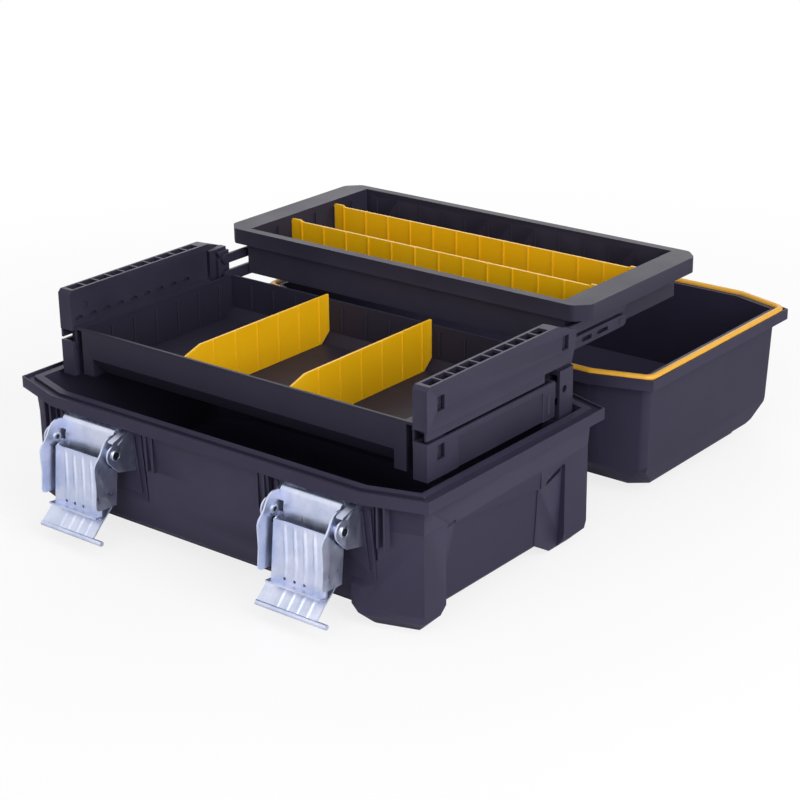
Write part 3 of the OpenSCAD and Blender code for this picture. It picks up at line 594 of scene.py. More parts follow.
class BeadTree(PieceTree):
    """Runs a round bead along its object's loop of edges, such as a lid seal."""

    name = "bead_along_loop"
    inputs = (("Loop", "Geometry", None), ("Corner Radius", "Float", 0.01), ("Bead Radius", "Float", 0.003),
              ("Sides", "Int", 16))
    corner_steps = 8

    def wire(self, tree: NodeTree, given: Sequence[NodeSocket]) -> NodeSocket:
        """Rounds the loop's corners and sweeps a circle along it."""
        curve = add_node(tree, "GeometryNodeMeshToCurve", {"Mesh": given["Loop"]})
        bend = add_node(tree, "GeometryNodeFilletCurve", {"Curve": curve.outputs[0], "Radius": given["Corner Radius"]},
                        mode="POLY", in_Count=self.corner_steps, in_Limit_Radius=True)
        circle = add_node(tree, "GeometryNodeCurvePrimitiveCircle", {"Resolution": given["Sides"],
                                                                     "Radius": given["Bead Radius"]})
        return add_node(tree, "GeometryNodeCurveToMesh", {"Curve": bend.outputs[0],
                                                          "Profile Curve": circle.outputs[0]}).outputs[0]


# ---------------------------------------------------------------- ways to make a piece


def moulding(node: str, name: str, radius: float, steps: int = 2, cuts: Sequence[Mesh] = (),
             joins: Sequence[Mesh] = (), upright: Sequence[float] = (), within: Optional[Mesh] = None) -> Object:
    """Takes a CAD node's shape, joins and cuts details and rounds its edges.

    Args:
        node: The CAD node.
        name: The piece's name.
        radius: The edge radius in millimetres.
        steps: Faces across the rounding.
        cuts: Meshes that are cut away.
        joins: Meshes that are joined on.
        upright: Radius, lower and upper height of a larger rounding of upright edges.
        within: A mesh outside which everything is cut off.

    Returns:
        The piece, not yet dressed.
    """
    obj = merged_copy(node, name)
    if upright:
        round_upright(obj, *upright)
    for tool in joins:
        cut(obj, tool, "UNION")
    for tool in cuts:
        cut(obj, tool)
    if within is not None:
        cut(obj, within, "INTERSECT")
    return round_edges(obj, radius, steps)


def piece(node: str, name: str, radius: float, finish: Finish, body: str, steps: int = 2, **details: object) -> None:
    """Builds and dresses a piece that stands for its CAD node; details are moulding()'s."""
    dress(moulding(node, name, radius, steps, **details), finish, body, node)


def row_tool(part: Stock, count: int, step: Sequence[float], rows: int = 1, row_step: Sequence[float] = (0, 0, 0),
             side: int = 1) -> Mesh:
    """Repeats a part in rows and returns the mesh, for cut() to join or take away.

    Args:
        part: One part, at its first place.
        count: Parts in a row.
        step: From one part to the next, in millimetres.
        rows: Rows.
        row_step: From one row to the next.
        side: 1, or -1 to mirror it in x.

    Returns:
        The repeated mesh.
    """
    obj = link_object("row_tool", part.mesh("row_tool", to_row(side)))
    place = [[v * MM * (side if axis == 0 else 1) for axis, v in enumerate(shift)] for shift in (step, row_step)]
    RowTree().run(obj, Finish.SHELL, {"Count": count, "Step": place[0], "Rows": rows, "Row Step": place[1]})
    mesh = obj.data
    mesh.materials.clear()
    bpy.data.objects.remove(obj)
    return mesh


def round_upright(obj: Object, radius: float, low: float, high: float, steps: int = 5) -> None:
    """Rounds the upright edges that lie wholly between two heights.

    Args:
        obj: The piece.
        radius: The edge radius in millimetres.
        low: The lower height in millimetres.
        high: The upper height in millimetres.
        steps: Faces across the rounding.
    """
    bm = bmesh.new()
    bm.from_mesh(obj.data)
    picked = []
    for edge in bm.edges:
        a, b = edge.verts[0].co, edge.verts[1].co
        inside = low * MM <= min(a.z, b.z) and max(a.z, b.z) <= high * MM
        upright = abs((a - b).normalized().z) > 0.96
        if inside and upright and len(edge.link_faces) == 2 and edge.calc_face_angle(0) > math.radians(12):
            picked.append(edge)
    bmesh.ops.bevel(bm, geom=picked, offset=radius * MM, segments=steps, profile=0.5, affect="EDGES",
                    clamp_overlap=True)
    bm.to_mesh(obj.data)
    bm.free()


def both(build: Callable[[str, int], None]) -> None:
    """Calls a builder for the left and the right side with its sign in x."""
    for side, sign in zip(("left", "right"), SIDES):
        build(side, sign)


def on_both(stock: Stock) -> list[Mesh]:
    """Returns a stock's mesh for the left and for the right side."""
    return [stock.mesh("tool", to_row(sign)) for sign in SIDES]


# ---------------------------------------------------------------- the box's own sizes


@dataclass(frozen=True)
class BoxSizes:
    """The driving sizes that the pieces share, in millimetres."""

    half_width: float = 221.5
    depth: float = 271.0
    rim_height: float = 119.4
    chamfer_along: float = 55.0
    chamfer_back: float = 17.0
    lid_front: float = 313.0
    rim_gap: float = 1.6
    seal_inset: float = 4.8
    seal_radius: float = 3.1
    seal_up: float = 0.1
    seal_corner: float = 9.0
    seal_room: float = 0.3
    seal_sides: int = 20
    plate_outer: float = 199.0
    plate_inner: float = 185.0
    plate_pin_end: float = 195.4
    front_pin_y: float = 62.0
    rear_pin_y: float = 228.0
    latch_x: float = 122.0
    lever_pin_y: float = -8.0
    lever_pin_z: float = 88.0
    pin_edge: float = 0.4

    def rim_outline(self, inset: float) -> list[Point]:
        """Returns the chamfered rim outline, set in by a distance, from the front left corner round."""
        slant = math.hypot(self.chamfer_along, self.chamfer_back)
        fx = self.half_width - self.chamfer_along + inset * (self.chamfer_along - slant) / self.chamfer_back
        sy = self.chamfer_back + inset * (slant - self.chamfer_back) / self.chamfer_along
        x, back = self.half_width - inset, self.depth - inset
        return [(-fx, inset), (fx, inset), (x, sy), (x, self.depth - sy), (fx, back), (-fx, back),
                (-x, self.depth - sy), (-x, sy)]


BOX = BoxSizes()


def rim_bead(name: str, front: float, height: float, radius: float) -> Object:
    """Runs a round bead along a rim's seal line, with rounded corners.

    Args:
        name: The new object's name.
        front: The rim's front edge, in millimetres from the base's.
        height: The bead's middle above the ground, in millimetres.
        radius: The bead's radius in millimetres.

    Returns:
        The bead, not yet dressed.
    """
    bm = bmesh.new()
    corners = [bm.verts.new((x, y + front, height)) for x, y in BOX.rim_outline(BOX.seal_inset)]
    for i, corner in enumerate(corners):
        bm.edges.new((corner, corners[(i + 1) % len(corners)]))
    bmesh.ops.transform(bm, matrix=to_row(), verts=bm.verts)
    mesh = bpy.data.meshes.new(name)
    bm.to_mesh(mesh)
    bm.free()
    return BeadTree().run(link_object(name, mesh), Finish.SEAL, {
        "Corner Radius": BOX.seal_corner * MM, "Bead Radius": radius * MM, "Sides": BOX.seal_sides})


def pin_shorteners(y: float, reach: float = 8.0) -> list[Mesh]:
    """Returns the blocks that cut the plate pins at a place back behind their windows."""
    return on_both(Stock().block(BOX.plate_pin_end, 201.0, y - reach, y + reach, 130.0, 190.0))


# ---------------------------------------------------------------- base


@dataclass
class Tub:
    """The base: its shell, the posts at its back and their fasteners."""

    edge: float = 1.2
    post_edge: float = 0.8
    ridge_front: float = 12.6
    ridge_back: float = 21.6
    ridge_wide: float = 2.2
    # Foot and top beside the bay's middle, then the foot's and the top's height.
    ridges_at: tuple[tuple[float, float, float, float], ...] = ((43.5, 37.5, 50.0, 97.0), (50.0, 45.5, 44.0, 100.0))
    # The pocket above a rear foot's channel and the notch above a front pillar: depth and outline.
    pockets_at: tuple[tuple[float, tuple[Point, ...]], ...] = (
        (203.5, ((190.0, 68.0), (210.5, 74.5), (210.5, 82.0), (193.0, 76.5))),
        (207.5, ((53.0, 79.0), (67.0, 81.5), (64.0, 85.5), (55.0, 85.5))),
    )
    pocket_out: float = 216.0
    foot_inset: float = 23.5
    foot_top_inset: float = 9.0
    foot_high: float = 13.5
    above_feet: Block = (-240.0, 240.0, -20.0, 320.0, 13.5, 140.0)

    def build(self) -> None:
        """Builds the base's pieces."""
        joins = [self.ridges(sign, mirror).mesh("ridges", to_row()) for sign in SIDES for mirror in SIDES]
        pockets = Stock()
        for depth, outline in self.pockets_at:
            pockets.prism(outline, Axis.X, depth, self.pocket_out)
        feet = Stock().loft(BOX.rim_outline(self.foot_inset), -1.0, BOX.rim_outline(self.foot_top_inset),
                            self.foot_high)
        feet.block(*self.above_feet)
        shell = moulding("base_tub", "base_shell", self.edge, 3, on_both(pockets), joins, (),
                         feet.mesh("feet", to_row()))
        # The closed lid's bead lies in the rim's groove; only at the corners does it need more room.
        closed = BOX.rim_height + BOX.rim_gap - BOX.seal_up
        cut(shell, rim_bead("groove", 0.0, closed, BOX.seal_radius + BOX.seal_room).data)
        dress(shell, Finish.SHELL, "base", "base_tub")
        for side in ("left", "right"):
            piece(f"rear_post_{side}", f"post_{side}", self.post_edge, Finish.PLATE, "base")
        for node, finish in (("post_screws", Finish.PIN), ("arm_pivot_pins", Finish.PLATE), ("hinge_pins", Finish.PIN)):
            piece(node, node + "_turned", BOX.pin_edge, finish, "base")
        piece("plate_pins_rear", "plate_pins_rear_turned", BOX.pin_edge, Finish.PLATE, "base",
              cuts=pin_shorteners(BOX.rear_pin_y))

    def ridges(self, sign: int, mirror: int) -> Stock:
        """Draws the two slanting ridges beside one end of a latch bay."""
        stock = Stock()
        for foot, top, low, high in self.ridges_at:
            outline = [(top, high), (top + self.ridge_wide, high + 1.5), (foot + self.ridge_wide, low),
                       (foot, low - 2.0)]
            placed = [(sign * BOX.latch_x + mirror * x, z) for x, z in outline]
            stock.prism(placed, Axis.Y, self.ridge_front, self.ridge_back)
        return stock


# ---------------------------------------------------------------- side plates, arms and links


@dataclass
class SideLinkage:
    """The parallel side plates, the swing arms and the level links."""

    edge: float = 0.7
    arm_edge: float = 0.5
    window_wide: float = 9.0
    window_high: float = 12.0
    window_deep: float = 3.4
    upper_pin_z: float = 179.0
    lower_pin_z: float = 139.6
    slot: Block = (187.6, 196.8, 52.0, 65.4, 189.5, 197.0)
    slot_count: int = 10
    slot_step: float = 15.6
    bite_count: int = 9
    bite_step: float = 16.4
    bite_deep: float = 1.8
    bite: tuple[Point, ...] = ((50.0, 168.6), (59.0, 168.6), (57.6, 170.8), (54.5, 171.8), (51.4, 170.8))
    panel: Block = (198.1, 200.0, 84.0, 197.0, 112.0, 144.5)
    rib: Block = (198.0, 199.7, 204.6, 206.8, 124.0, 141.0)
    arm_slot: Block = (170.0, 186.0, 281.0, 295.0, 160.0, 164.0)

    def build(self) -> None:
        """Builds both sides."""
        both(self.upper)
        both(self.lower)
        both(self.arms)

    def window(self, y: float, z: float, sign: int) -> Mesh:
        """Draws the square window in the outer skin in front of a pin."""
        wide, high, outer = self.window_wide / 2, self.window_high / 2, BOX.plate_outer
        stock = Stock().block(outer - self.window_deep, outer + 1, y - wide, y + wide, z - high, z + high)
        return stock.mesh("window", to_row(sign))

    def upper(self, side: str, sign: int) -> None:
        """Builds an upper plate: slotted along its top and low on its inner face, with two pin windows."""
        bite = Stock().prism(self.bite, Axis.X, BOX.plate_inner - 1, BOX.plate_inner + self.bite_deep)
        cuts = [row_tool(Stock().block(*self.slot), self.slot_count, (0, self.slot_step, 0), side=sign),
                row_tool(bite, self.bite_count, (0, self.bite_step, 0), side=sign),
                self.window(BOX.front_pin_y, self.upper_pin_z, sign),
                self.window(BOX.rear_pin_y, self.upper_pin_z, sign)]
        name = f"upper_side_plate_{side}"
        piece(f"upper_plate_{side}", name, self.edge, Finish.PLATE, name, cuts=cuts)

    def lower(self, side: str, sign: int) -> None:
        """Builds a lower plate: a sunk panel, an upright rib and a pin window in its outer face."""
        panel = Stock().block(*self.panel).mesh("panel", to_row(sign))
        rib = Stock().block(*self.rib).mesh("rib", to_row(sign))
        name = f"lower_side_plate_{side}"
        piece(f"lower_plate_{side}", name, self.edge, Finish.PLATE, name,
              cuts=[panel, self.window(BOX.front_pin_y, self.lower_pin_z, sign)], joins=[rib])

    def arms(self, side: str, sign: int) -> None:
        """Builds one side's arm, with a second slot, and its link."""
        slot = Stock().block(*self.arm_slot).mesh("slot", to_row(sign))
        piece(f"swing_arm_{side}", f"arm_{side}_bar", self.arm_edge, Finish.PLATE, f"arm_{side}", cuts=[slot])
        piece(f"level_link_{side}", f"link_{side}_bar", self.arm_edge, Finish.PLATE, f"link_{side}")


# ---------------------------------------------------------------- trays


@dataclass
class MiddleTray:
    """The middle tray and its two yellow dividers."""

    edge: float = 0.7
    rib_step: float = 27.0
    side_rib: Block = (173.0, 175.0, 80.0, 81.6, 126.0, 158.0)
    side_ribs: int = 6
    back_rib: Block = (-150.0, -148.4, 232.4, 234.6, 136.0, 158.0)
    back_ribs: int = 12
    divider_rib: Block = (55.5, 59.5, 84.0, 85.4, 126.0, 167.9)

    def build(self) -> None:
        """Builds the tray's pieces."""
        side = Stock().block(*self.side_rib)
        joins = [row_tool(side, self.side_ribs, (0, self.rib_step, 0), side=sign) for sign in SIDES]
        joins.append(row_tool(Stock().block(*self.back_rib), self.back_ribs, (self.rib_step, 0, 0)))
        piece("middle_tray", "middle_tray_shell", self.edge, Finish.TRAY, "middle_tray_group", joins=joins)
        piece("plate_pins_front", "front_pins", BOX.pin_edge, Finish.PLATE, "middle_tray_group",
              cuts=pin_shorteners(BOX.front_pin_y))
        both(self.divider)

    def divider(self, side: str, sign: int) -> None:
        """Builds one divider, ribbed on both faces."""
        ribs = row_tool(Stock().block(*self.divider_rib), self.side_ribs, (0, self.rib_step, 0), side=sign)
        piece(f"middle_divider_{side}", f"middle_partition_{side}", BOX.pin_edge, Finish.DIVIDER, "middle_tray_group",
              joins=[ribs])


@dataclass
class UpperTray:
    """The upper tray and its two yellow dividers."""

    edge: float = 1.6
    rim_rounding: tuple[float, float, float] = (3.0, 180.0, 202.0)
    rib_step: float = 27.0
    rib_proud: float = 0.8
    side_rib: Block = (173.0, 175.0, 272.0, 273.6, 163.5, 195.0)
    side_ribs: int = 6
    long_rib: Block = (-162.0, -160.4, 261.5, 263.3, 163.5, 195.0)
    long_ribs: int = 13
    wall_to_wall: float = 169.2
    divider_half: float = 1.2
    dividers: tuple[tuple[str, float], ...] = (("front", 320.0), ("rear", 382.0))
    grip: tuple[Point, ...] = ((160.0, 195.5), (173.0, 195.5), (173.0, 197.6), (163.0, 197.6))

    def build(self) -> None:
        """Builds the tray's pieces."""
        side, long = Stock().block(*self.side_rib), Stock().block(*self.long_rib)
        joins = [row_tool(side, self.side_ribs, (0, self.rib_step, 0), side=sign) for sign in SIDES]
        joins.append(row_tool(long, self.long_ribs, (self.rib_step, 0, 0), 2, (0, self.wall_to_wall, 0)))
        piece("upper_tray", "upper_tray_shell", self.edge, Finish.TRAY, "upper_tray_group", 3, joins=joins,
              upright=self.rim_rounding)
        piece("arm_pins_front", "tray_pins", BOX.pin_edge, Finish.PLATE, "upper_tray_group")
        for place, y in self.dividers:
            self.divider(place, y)

    def divider(self, place: str, y: float) -> None:
        """Builds one divider: ribbed on both faces, with a small raised grip at each end."""
        half = self.divider_half
        rib = Stock().block(-162.0, -160.6, y - half - self.rib_proud, y + half + self.rib_proud, 163.0, 195.9)
        joins = [row_tool(rib, self.long_ribs, (self.rib_step, 0, 0))]
        joins += on_both(Stock().prism(self.grip, Axis.Y, y - half, y + half))
        piece(f"upper_divider_{place}", f"upper_partition_{place}", BOX.pin_edge, Finish.DIVIDER, "upper_tray_group",
              joins=joins)


# ---------------------------------------------------------------- lid


@dataclass
class Lid:
    """The lid, its seal and its folding handle."""

    edge: float = 1.8
    handle_edge: float = 1.2
    rounding: tuple[float, float, float] = (6.0, 10.0, 112.0)
    top_step: Block = (-240.0, 240.0, 503.0, 545.0, 5.0, 12.3)

    def build(self) -> None:
        """Builds the lid's pieces."""
        step = Stock().block(*self.top_step).mesh("step", to_row())
        piece("lid_shell", "lid_moulding", self.edge, Finish.SHELL, "lid", 3, cuts=[step], upright=self.rounding)
        bead = rim_bead("lid_seal_bead", BOX.lid_front, BOX.rim_height + BOX.seal_up, BOX.seal_radius)
        dress(bead, Finish.SEAL, "lid", "lid_seal", smooth=60)
        piece("carry_handle", "handle_grip", self.handle_edge, Finish.TRAY, "handle", 3)
        piece("handle_pins", "handle_pivot_pins", BOX.pin_edge, Finish.PIN, "lid")


# ---------------------------------------------------------------- latches


def ramp(value: float, start: float, length: float) -> float:
    """Returns 0 up to a start, then rises to 1 over a length."""
    return max(0.0, min(1.0, (value - start) / length))


@dataclass
class Latch:
    """One draw latch: bracket, lever and ribbed hook, pressed from sheet."""

    side: str
    sign: int
    edge: float = 0.3
    lean: float = 6.0
    sheet: float = 1.6
    half: float = 33.0
    lip_half: float = 36.0
    lip_radius: float = 2.2
    lip_at: Point = (-12.0, -75.0)
    lever_edge: float = 0.35
    lever_rib: float = 0.8  # the share of a rib's height on the lever's skirt
    ribs_from: Point = (52.0, 5.0)  # how far below the pin the skirt's ribs start, and how long they rise
    ribs_to: Point = (-73.0, 3.0)
    side_hole: Block = (27.6, 34.0, 4.6, 9.0, -3.0, 6.0)
    pin_hole_across: Point = (29.0, 34.5)
    pin_holes: Point = (2.1, 3.0)  # radii at the lever's pin and at the hook's
    hook_half: float = 28.0
    hook_long: float = 47.5
    hook_top: float = 3.0
    hook_hole: tuple[float, float, float] = (-8.0, -1.0, 1.3)  # its two ends and its radius
    hook_hole_up: float = 4.6
    rim_pass: Point = (-33.0, 6.0)  # the height over the hook's pin below which low_rib holds, and the rise above
    sway: tuple[float, float, float] = (1.3, 12.0, 11.0)  # of the ribs: how far, its phase and its length
    hook_in: float = 3.2
    hook_pin_drop: float = 8.5
    hook_ear: float = 4.5
    claw: float = 7.0
    rib_proud: float = 1.0
    rib_wide: float = 1.7
    low_rib: float = 0.55  # the share of a rib's height that passes the rim when the hook is swung up
    rib_at: tuple[float, ...] = (-15.0, -5.0, 5.0, 15.0)
    tab_across: Point = (34.9, 41.0)
    # The bracket's bent-over tab, in (y, height over the lever's pin).
    tab: tuple[Point, ...] = ((13.0, 17.0), (3.0, 17.4), (-6.0, 13.6), (-12.5, 12.0), (-12.5, 13.4), (-6.5, 15.2),
                              (3.0, 19.0), (13.0, 18.6))
    # The lever's middle line from its curled top to its lip, as (y, z, half width).
    spine: tuple[tuple[float, float, float], ...] = (
        (13.0, 13.4, 30.5), (12.6, 15.4, 31.0), (11.2, 16.9, 31.5), (9.4, 17.3, 31.5), (8.0, 16.2, 31.8),
        (7.2, 13.6, 32.4), (6.9, 9.0, 33.0), (6.8, 3.0, 33.0), (6.8, -20.0, 33.0), (6.8, -47.0, 33.0),
        (6.2, -49.6, 33.1), (4.6, -52.2, 33.3), (1.2, -56.4, 33.9), (-3.6, -63.0, 34.8), (-8.0, -69.2, 35.5),
        (-11.4, -73.6, 36.0))
    flange: tuple[Point, ...] = (
        (7.4, 14.0), (7.4, -46.0), (-12.0, -47.0), (-14.6, -46.2), (-15.8, -43.6), (-15.9, -28.0), (-18.2, -12.0),
        (-18.4, -9.0), (-17.2, -5.4), (-13.6, -1.0), (-11.2, 3.0), (-9.0, 8.4), (-6.0, 12.6), (-2.0, 15.0), (3.0, 15.6))

    def build(self) -> None:
        """Builds the latch's pieces."""
        self.bracket()
        self.lever()
        self.hook()
        piece(f"hook_pin_{self.side}", f"hook_{self.side}_pin", self.edge, Finish.DARK_PIN_AND_BORE_SHADE, f"lever_{self.side}")

    def place(self, drop: float = 0.0) -> Matrix:
        """Returns the matrix from the leaning lever's frame, whose origin is its pin, to the row frame."""
        pin = Matrix.Translation((self.sign * BOX.latch_x, BOX.lever_pin_y, BOX.lever_pin_z))
        turn = Matrix.Rotation(math.radians(-self.lean), 4, "X")
        return to_row() @ pin @ turn @ Matrix.Translation((0, 0, -drop))

    def join(self, obj: Object, stock: Stock, drop: float = 0.0) -> None:
        """Joins a stock in the lever's frame to a piece."""
        cut(obj, stock.mesh("join", self.place(drop)), "UNION")

    def bracket(self) -> None:
        """Builds the bracket, with the bent-over tab above its right ear."""
        x = self.sign * BOX.latch_x
        tab = Stock().prism([(y, BOX.lever_pin_z + up) for y, up in self.tab], Axis.X, x + self.tab_across[0],
                            x + self.tab_across[1])
        piece(f"latch_bracket_{self.side}", f"bracket_{self.side}", self.edge, Finish.LATCH, "base",
              joins=[tab.mesh("tab", to_row())])

    def columns(self, half: float, step: float) -> list[float]:
        """Returns evenly spaced places across a sheet."""
        count = round(2 * half / step)
        return [-half + 2 * half * i / count for i in range(count + 1)]

    def bump(self, x: float) -> float:
        """Returns the height of the pressed ribs across a sheet."""
        return max(self.rib_proud * math.exp(-(((x - rib) / self.rib_wide) ** 2) * 2.2) for rib in self.rib_at)

    def lever(self) -> None:
        """Builds the lever: curled top, flat back, flanges, flared skirt with four ribs and a rolled lip."""
        rows = []
        for y, z, half in self.spine:
            flare = ramp(-z, *self.ribs_from) * ramp(z, *self.ribs_to)
            rows.append([Vector((x, y - flare * self.bump(x) * self.lever_rib, z)) for x in self.columns(half, 1.0)])
        sheet = Stock().sweep(rows, self.sheet)
        obj = link_object(f"lever_{self.side}_pressing", sheet.mesh("lever", self.place()))
        self.join(obj, Stock().cylinder(-self.lip_half, self.lip_half, self.lip_radius, Axis.X, *self.lip_at, 20))
        for start in (-self.half, self.half - self.sheet):
            self.join(obj, Stock().prism(self.flange, Axis.X, start, start + self.sheet))
        holes = Stock()
        near, far = self.pin_hole_across
        for end in SIDES:
            holes.block(*sorted(end * x for x in self.side_hole[:2]), *self.side_hole[2:])
            for radius, drop in zip(self.pin_holes, (0, self.hook_pin_drop)):
                holes.cylinder(end * near, end * far, radius, Axis.X, 0, -drop, 20)
        cut(obj, holes.mesh("holes", self.place()))
        round_edges(obj, self.lever_edge, angle=40)
        dress(obj, Finish.LATCH, f"lever_{self.side}", f"latch_lever_{self.side}", smooth=40)

    def hook_rows(self, front: float, steps: int = 34) -> list[list[Vector]]:
        """Returns the rows of the hook's sheet, whose ribs sway a little on their way down."""
        places = self.columns(self.hook_half, 0.8)
        far, phase, length = self.sway
        rows = []
        for i in range(steps + 1):
            z = self.hook_top - (self.hook_long + self.hook_top) * i / steps
            rise = ramp(-z, -2.0, 6.0) * ramp(z, 3.0 - self.hook_long, 5.0)
            rise *= self.low_rib + (1.0 - self.low_rib) * ramp(z, *self.rim_pass)
            sway = far * math.sin((z + phase) / length)
            rows.append([Vector((x, front - rise * self.bump(x + sway), z)) for x in places])
        for drop in (1.0, 2.2):
            rows.append([Vector((x, front - drop, -self.hook_long - drop * 0.25)) for x in places])
        return rows

    def hook(self) -> None:
        """Builds the hook: a sheet with four wavy pressed ribs, side ears and a claw."""
        front, drop = -self.hook_in - self.sheet / 2, self.hook_pin_drop
        sheet = Stock().sweep(self.hook_rows(front), self.sheet)
        obj = link_object(f"hook_{self.side}_pressing", sheet.mesh("hook", self.place(drop)))
        self.join(obj, Stock().block(-self.hook_half, self.hook_half, front - self.sheet / 2 - self.claw, front,
                                     -self.hook_long, -self.hook_long + self.sheet), drop)
        for start in (-self.hook_half, self.hook_half - self.sheet):
            ear = Stock().cylinder(start, start + self.sheet, self.hook_ear, Axis.X, 0, 0)
            self.join(obj, ear.block(start, start + self.sheet, front, 0, -4.0, 3.0), drop)
        holes = Stock()
        for x in self.rib_at[:3]:
            holes.cylinder(*self.hook_hole, Axis.Y, x + 1.0, -self.hook_long + self.hook_hole_up, 16)
        cut(obj, holes.mesh("holes", self.place(drop)))
        round_edges(obj, self.edge, angle=45)
        dress(obj, Finish.LATCH, f"hook_{self.side}", f"latch_hook_{self.side}", smooth=40)


@dataclass
class LatchRivets:
    """The rivets of both latches; the lever's rivets are tubular, with a dark insert in each bore as painted shade."""

    edge: float = 0.3
    bore: float = 2.1
    mouth: float = 3.5
    bore_start: float = 28.0
    # Where the dark insert of painted bore shade starts and ends along each rivet.
    bore_shade_start: float = 31.2
    bore_shade_end: float = 39.5
    funnel: Point = (38.2, 39.7)
    head: float = 42.0

    def build(self) -> None:
        """Builds the rivets."""
        piece("bracket_rivets", "bracket_rivet_heads", BOX.pin_edge, Finish.RIVET, "base")
        neck, wide = self.funnel
        bores = self.turned([(self.bore_start, 0), (self.bore_start, self.bore), (neck, self.bore),
                             (wide, self.mouth), (self.head, self.mouth), (self.head, 0)])
        # Dark turned inserts that fill each bore up to its mouth: painted shade for the hole's shadowed inside.
        bore_shades = self.turned([(self.bore_shade_start, 0), (self.bore_shade_start, self.bore), (neck, self.bore),
                             (self.bore_shade_end, self.mouth - 0.2), (self.bore_shade_end, 0)])
        piece("lever_pins", "lever_rivets", self.edge, Finish.RIVET, "base", cuts=[bores.mesh("bores", to_row())])
        dress(link_object("lever_rivet_bore_shades", bore_shades.mesh("lever_rivet_bore_shades", to_row())), Finish.DARK_PIN_AND_BORE_SHADE, "base",
              "lever_pins")

    def turned(self, profile: Sequence[Point]) -> Stock:
        """Turns a profile round each lever rivet's axis, outwards from the latch's middle."""
        stock = Stock()
        for middle in (-BOX.latch_x, BOX.latch_x):
            for end in SIDES:
                stock.turned([(middle + end * along, radius) for along, radius in profile], Axis.X, BOX.lever_pin_y,
                             BOX.lever_pin_z)
        return stock


# ---------------------------------------------------------------- studio


@dataclass(frozen=True)
class Lamp:
    """A soft square lamp: its direction in degrees, its distance and size in metres, its power in watts."""

    name: str
    azimuth: float
    elevation: float
    reach: float
    size: float
    power: float


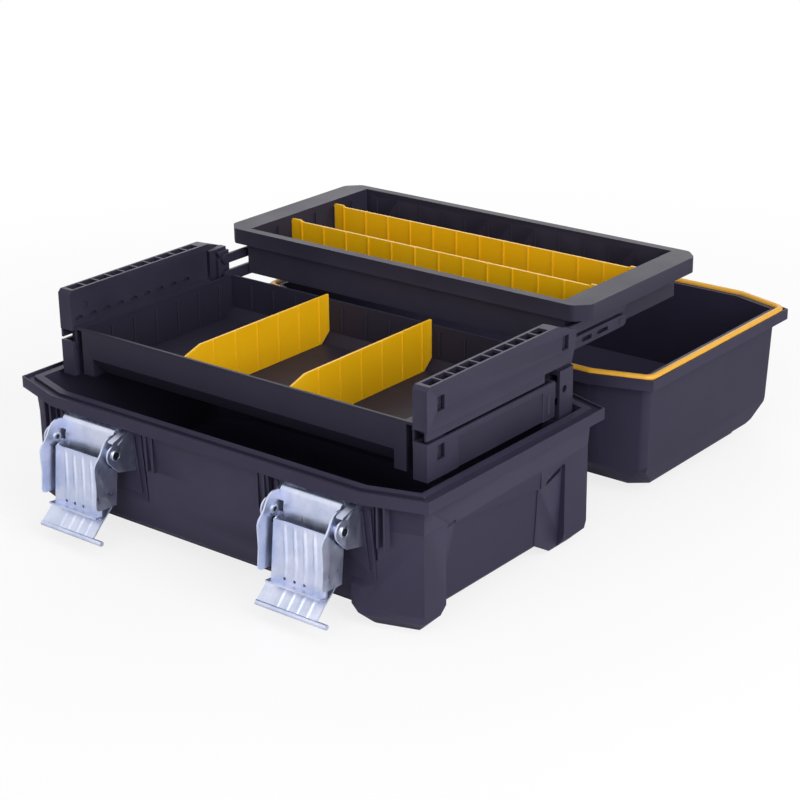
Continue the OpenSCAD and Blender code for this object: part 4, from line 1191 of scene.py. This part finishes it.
@dataclass
class Studio:
    """A pale floor, a white surround, four soft lamps and the camera at the photograph's angle."""

    azimuth: float = 38.63
    elevation: float = 21.40
    roll: float = -0.71
    target: tuple[float, float, float] = (-142.83, 440.73, -17.77)
    distance: float = 2057.16
    focal: float = 90.93
    lamps: tuple[Lamp, ...] = (
        Lamp("key_right", 74.0, 26.0, 2.2, 1.4, 36.0),
        Lamp("fill_front", 8.0, 24.0, 2.6, 2.0, 24.0),
        Lamp("top", 30.0, 78.0, 2.4, 1.8, 9.0),
        Lamp("fill_back", 215.0, 28.0, 2.6, 2.0, 18.0),
    )
    surround: float = 0.3
    shadow_floor: float = 0.8
    shadow_reach: tuple[float, float] = (0.45, 1.0)

    def build(self) -> None:
        """Builds the studio."""
        bpy.context.scene.view_settings.view_transform = "Standard"
        self.camera()
        self.floor()
        self.world()
        for lamp in self.lamps:
            self.hang(lamp)

    def direction(self, azimuth: float, elevation: float) -> Vector:
        """Returns the unit vector from the object towards an azimuth and elevation in degrees."""
        a, e = math.radians(azimuth), math.radians(elevation)
        return Vector((math.sin(a) * math.cos(e), -math.cos(a) * math.cos(e), math.sin(e)))

    def camera(self) -> None:
        """Puts the camera where the photograph was taken from."""
        data = bpy.data.cameras.new("photo_camera")
        data.sensor_width = 36.0
        data.lens = self.focal
        camera = link_object("photo_camera", data)
        back = self.direction(self.azimuth, self.elevation)
        target = to_row() @ Vector(self.target)
        turn = (-back).to_track_quat("-Z", "Y").to_matrix().to_4x4()
        tilt = Matrix.Rotation(math.radians(self.roll), 4, "Z")
        camera.matrix_world = Matrix.Translation(target + back * self.distance * MM) @ turn @ tilt
        data.clip_start, data.clip_end = 0.05, 50.0
        bpy.context.scene.camera = camera

    def floor(self) -> None:
        """Lays the pale floor: white to the camera away from the object, its own shade near it for the shadow."""
        stock = Stock().block(-9000, 9000, -9000, 9000, -20, -0.05)
        floor = link_object("floor", stock.mesh("floor", to_row()))
        material, tree, shader, place = new_material("pale_painted_floor")
        shader.inputs["Base Color"].default_value = linear("#f2f2f5")
        shader.inputs["Roughness"].default_value = 0.7
        away = add_node(tree, "ShaderNodeVectorMath", {0: place}, operation="LENGTH")
        white = spread(tree, away.outputs["Value"], *self.shadow_reach, self.shadow_floor)
        rays = add_node(tree, "ShaderNodeLightPath")
        seen = combine(tree, rays.outputs["Is Camera Ray"], white)
        paper = add_node(tree, "ShaderNodeEmission", in_Strength=1.0)
        paper.inputs["Color"].default_value = (1, 1, 1, 1)
        mix = add_node(tree, "ShaderNodeMixShader", {0: seen, 1: shader.outputs[0], 2: paper.outputs[0]})
        tree.links.new(mix.outputs[0], tree.nodes["Material Output"].inputs["Surface"])
        floor.data.materials.append(material)

    def world(self) -> None:
        """Surrounds the object with soft light that looks white to the camera and in reflections."""
        world = bpy.data.worlds.new("white_surround")
        bpy.context.scene.world = world
        world.use_nodes = True
        tree = world.node_tree
        soft = tree.nodes["Background"]
        soft.inputs["Color"].default_value = linear("#f4f5fa")
        soft.inputs["Strength"].default_value = self.surround
        white = add_node(tree, "ShaderNodeBackground", in_Strength=1.0)
        white.inputs["Color"].default_value = (1, 1, 1, 1)
        rays = add_node(tree, "ShaderNodeLightPath").outputs
        seen = combine(tree, rays["Is Camera Ray"], rays["Is Glossy Ray"], "MAXIMUM")
        through = combine(tree, seen, rays["Is Transmission Ray"], "MAXIMUM")
        mix = add_node(tree, "ShaderNodeMixShader", {0: through, 1: soft.outputs[0], 2: white.outputs[0]})
        tree.links.new(mix.outputs[0], tree.nodes["World Output"].inputs["Surface"])

    def hang(self, lamp: Lamp) -> None:
        """Hangs one lamp that faces the object."""
        data = bpy.data.lights.new(lamp.name, "AREA")
        data.size = lamp.size
        data.energy = lamp.power
        obj = link_object(lamp.name, data)
        back = self.direction(lamp.azimuth, lamp.elevation)
        obj.location = Vector((0, 0, 0.1)) + back * lamp.reach
        obj.rotation_mode = "QUATERNION"
        obj.rotation_quaternion = (-back).to_track_quat("-Z", "Y")


def main() -> None:
    """Builds the studio and every piece of the tool box."""
    logging.basicConfig(level=logging.INFO, format="%(name)s: %(message)s")
    Studio().build()
    Tub().build()
    SideLinkage().build()
    MiddleTray().build()
    UpperTray().build()
    Lid().build()
    both(lambda side, sign: Latch(side, sign).build())
    LatchRivets().build()


if __name__ == "__main__":
    main()
